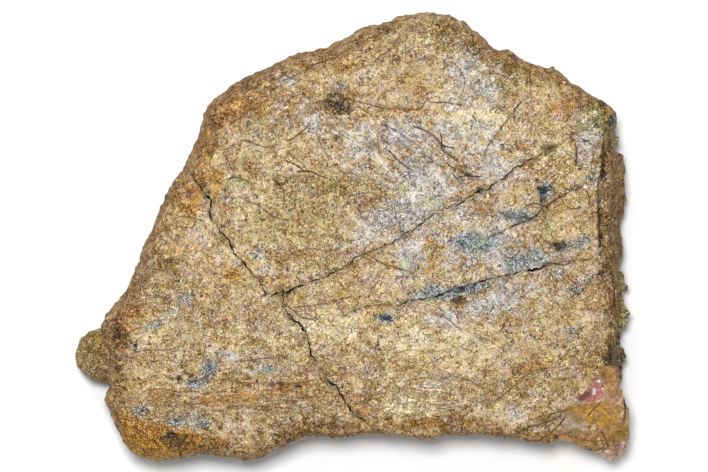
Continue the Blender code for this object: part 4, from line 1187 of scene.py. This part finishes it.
    # white: painted glints on the polished facet, and white crystals elsewhere
    paintedGlintsAndCrystals = put("band", put("add", mark["paintedGlintsAndCrystals"], swung(put, (fine, 1.6))), 0.30, 0.85)
    colour = layered(
        put, colour, (beside, 0.42, "#8E6236"), (drawn, 0.95, "#2C1C0A"), (crackStainAndShade, 0.34, "#5E4422"),
        (crackDirtAndShade, 0.95, "#1C1206"), (smooth, 0.92, polish), (paintedGlintsAndCrystals, 1.0, "#FFFAF4"),
    )
    relief = weighed(
        put, (fine, 0.42), (ragged, 0.55), (fibre, 0.6), (strokes, 0.55), (worms, -0.22), (chipTone, 0.20),
        (streaks, -0.16), (hairs, -0.12), (chips, -0.22), (specks, 0.18), (drawn, -0.40),
    )
    relief = put("times", relief, put("less", 1.0, put("times", smooth, 0.7)))
    rough = put("less", put("add", 0.58, put("times", fine, 0.3)), put("times", smooth, 0.55))
    bump = put("bump", relief, 1 * mm, 1.0)
    return finished(material, {"Base Color": colour, "Roughness": rough, "Normal": bump})


bone.data.materials.clear()
bone.data.materials.append(fossilBone())
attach(bone, "root")
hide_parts("frill_section")
print("bone finished")

# Lumps of the rock matrix that cling to the broken side: x, y in pixels, height and half size in millimetres, and
# 0 for green to 1 for brown.
lumps = {
    "segments": (64, 44),
    "noise": 0.30,
    "ridges": 0.30,
    "crumbs": 0.10,
    "each": [
        (616.0, 283, 8.5, 5.2, 0.0), (613.5, 293, 10.0, 4.4, 0.3), (617.5, 313, 9.0, 5.9, 0.0),
        (614.0, 325, 8.0, 5.0, 0.3), (614.5, 357, 8.5, 5.2, 1.0), (612, 367, 7.0, 4.8, 0.8),
        (611.5, 343, 10.0, 4.4, 0.6), (613.0, 378, 7.0, 4.6, 0.5), (611.5, 350, 14.0, 3.6, 0.5),
        (612.5, 364, 13.0, 3.6, 0.9), (609.5, 140, 14.0, 4.0, 0.4),
    ],
}


def buildLumps():
    # a ball whose radius carries strong noise, crumbs and spiky ridges: ridges times (1 - |finer noise|) ^ 5
    ways, faces = ballGrid(*lumps["segments"])
    points, blocks, tints = [], [], []
    for number, (xPx, yPx, height, size, tint) in enumerate(lumps["each"]):
        shift = 5.3 * number
        rough = lumps["noise"] * fractal(*(ways.T + shift), 0.8, 3, 43)
        ridge = lumps["ridges"] * (1 - np.abs(latticeNoise(*(ways.T - shift), 0.42, 47))) ** 5 - 0.12
        crumbs = lumps["crumbs"] * fractal(*(ways.T + shift), 0.2, 2, 53)
        reach = size * mm * (0.95 + rough + ridge + crumbs)
        ball = ways * reach[:, None] * (1, 1.05, 0.95) + (*placed(xPx, yPx), height * mm)
        ball[:, 2] = np.maximum(ball[:, 2], 0.3 * mm)
        points.append(ball)
        tints.append(np.full(len(ways), tint))
        blocks += [block + number * len(ways) for block in faces]
    made = meshObject("matrixLumps", np.concatenate(points), blocks)
    made.data.shade_smooth()
    keep(made, "tint", np.concatenate(tints))
    return made


def ironMatrix():
    # rock matrix: yellow-green crumbs on dark brown, pale grains and deep dark hollows between them
    material, put, place = started("ironMatrix")
    grain = put("noise", place, 1 / 1.1, 3.0, 0.75)
    patch = put("noise", put("moved", place, (4, 5, 6)), 1 / 3.0, 3.0, 0.6)
    green = put("blend", put("band", patch, 0.38, 0.62), "#7C7236", "#C0B67C")
    brown = put("blend", put("band", patch, 0.42, 0.60), "#33200F", "#70402A")
    isBrown = put("band", put("add", put("mark", attribute_name="tint"), swung(put, (patch, 1.2))), 0.35, 0.75)
    colour = layered(
        put, green, (isBrown, 1.0, brown), (put("band", grain, 0.54, 0.62), 0.8, "#E6DCA4"),
        (put("band", grain, 0.48, 0.40), 0.9, "#2A1E0A"),
    )
    bump = put("bump", put("times", grain, 0.8), 1 * mm, 1.0)
    return finished(material, {"Base Color": colour, "Normal": bump, "Roughness": 0.45})


matrix = buildLumps()
matrix.data.materials.append(ironMatrix())
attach(matrix, "root")
print("matrix finished")

# The floor, the camera over the slab's middle and soft light from the far side.
studio = {
    "floorSize": 6.0,
    "cameraPlane": 13 * mm,  # the height at which the picture's scale holds
    "lens": 200,
    "sensor": 36,
    "aim": (0.25 * mm, 0.30 * mm),
    "lamps": [
        ("highSoftbox", (-0.12, 0.32, 1.55), 0.45, 19.6),
        ("farSoftbox", (-0.55, 1.20, 1.10), 0.40, 6.5),
    ],
    "sky": 0.38,
}


def buildStudio():
    # the camera's height makes the picture's width cover its own width in pixels at the plane's height
    half = studio["floorSize"] / 2
    corners = np.array([(-half, -half, 0), (half, -half, 0), (half, half, 0), (-half, half, 0)])
    floor = meshObject("floor", corners, [np.array([[0, 1, 2, 3]])])
    paper = bpy.data.materials.new("palePaper")
    paper.use_nodes = True
    finished(paper, {"Base Color": "#FBFBFB", "Roughness": 0.9, "Specular IOR Level": 0.0})
    floor.data.materials.append(paper)

    camera = bpy.data.objects.new("camera", bpy.data.cameras.new("camera"))
    bpy.context.scene.collection.objects.link(camera)
    camera.data.lens = studio["lens"]
    camera.data.sensor_width = studio["sensor"]
    camera.data.clip_end = 10
    width = picture["size"][0] * pixel
    x, y = placed(picture["size"][0] / 2, picture["size"][1] / 2)
    x, y = x + studio["aim"][0], y + studio["aim"][1]
    camera.location = (x, y, studio["cameraPlane"] + width * studio["lens"] / studio["sensor"])
    bpy.context.scene.camera = camera

    for name, place, size, power in studio["lamps"]:
        lamp = bpy.data.objects.new(name, bpy.data.lights.new(name, "AREA"))
        lamp.data.shape = "SQUARE"
        lamp.data.size = size
        lamp.data.energy = power
        lamp.location = place
        # turned so that it faces the slab
        x, y, z = place
        lamp.rotation_euler = (math.atan2(math.hypot(x, y), z), 0, math.atan2(x, -y))
        bpy.context.scene.collection.objects.link(lamp)

    world = bpy.data.worlds.new("white")
    world.use_nodes = True
    fill(world.node_tree.nodes["Background"], {"Color": "#FFFFFF", "Strength": studio["sky"]})
    bpy.context.scene.world = world
    bpy.context.scene.view_settings.view_transform = "Standard"


buildStudio()
print("studio finished")
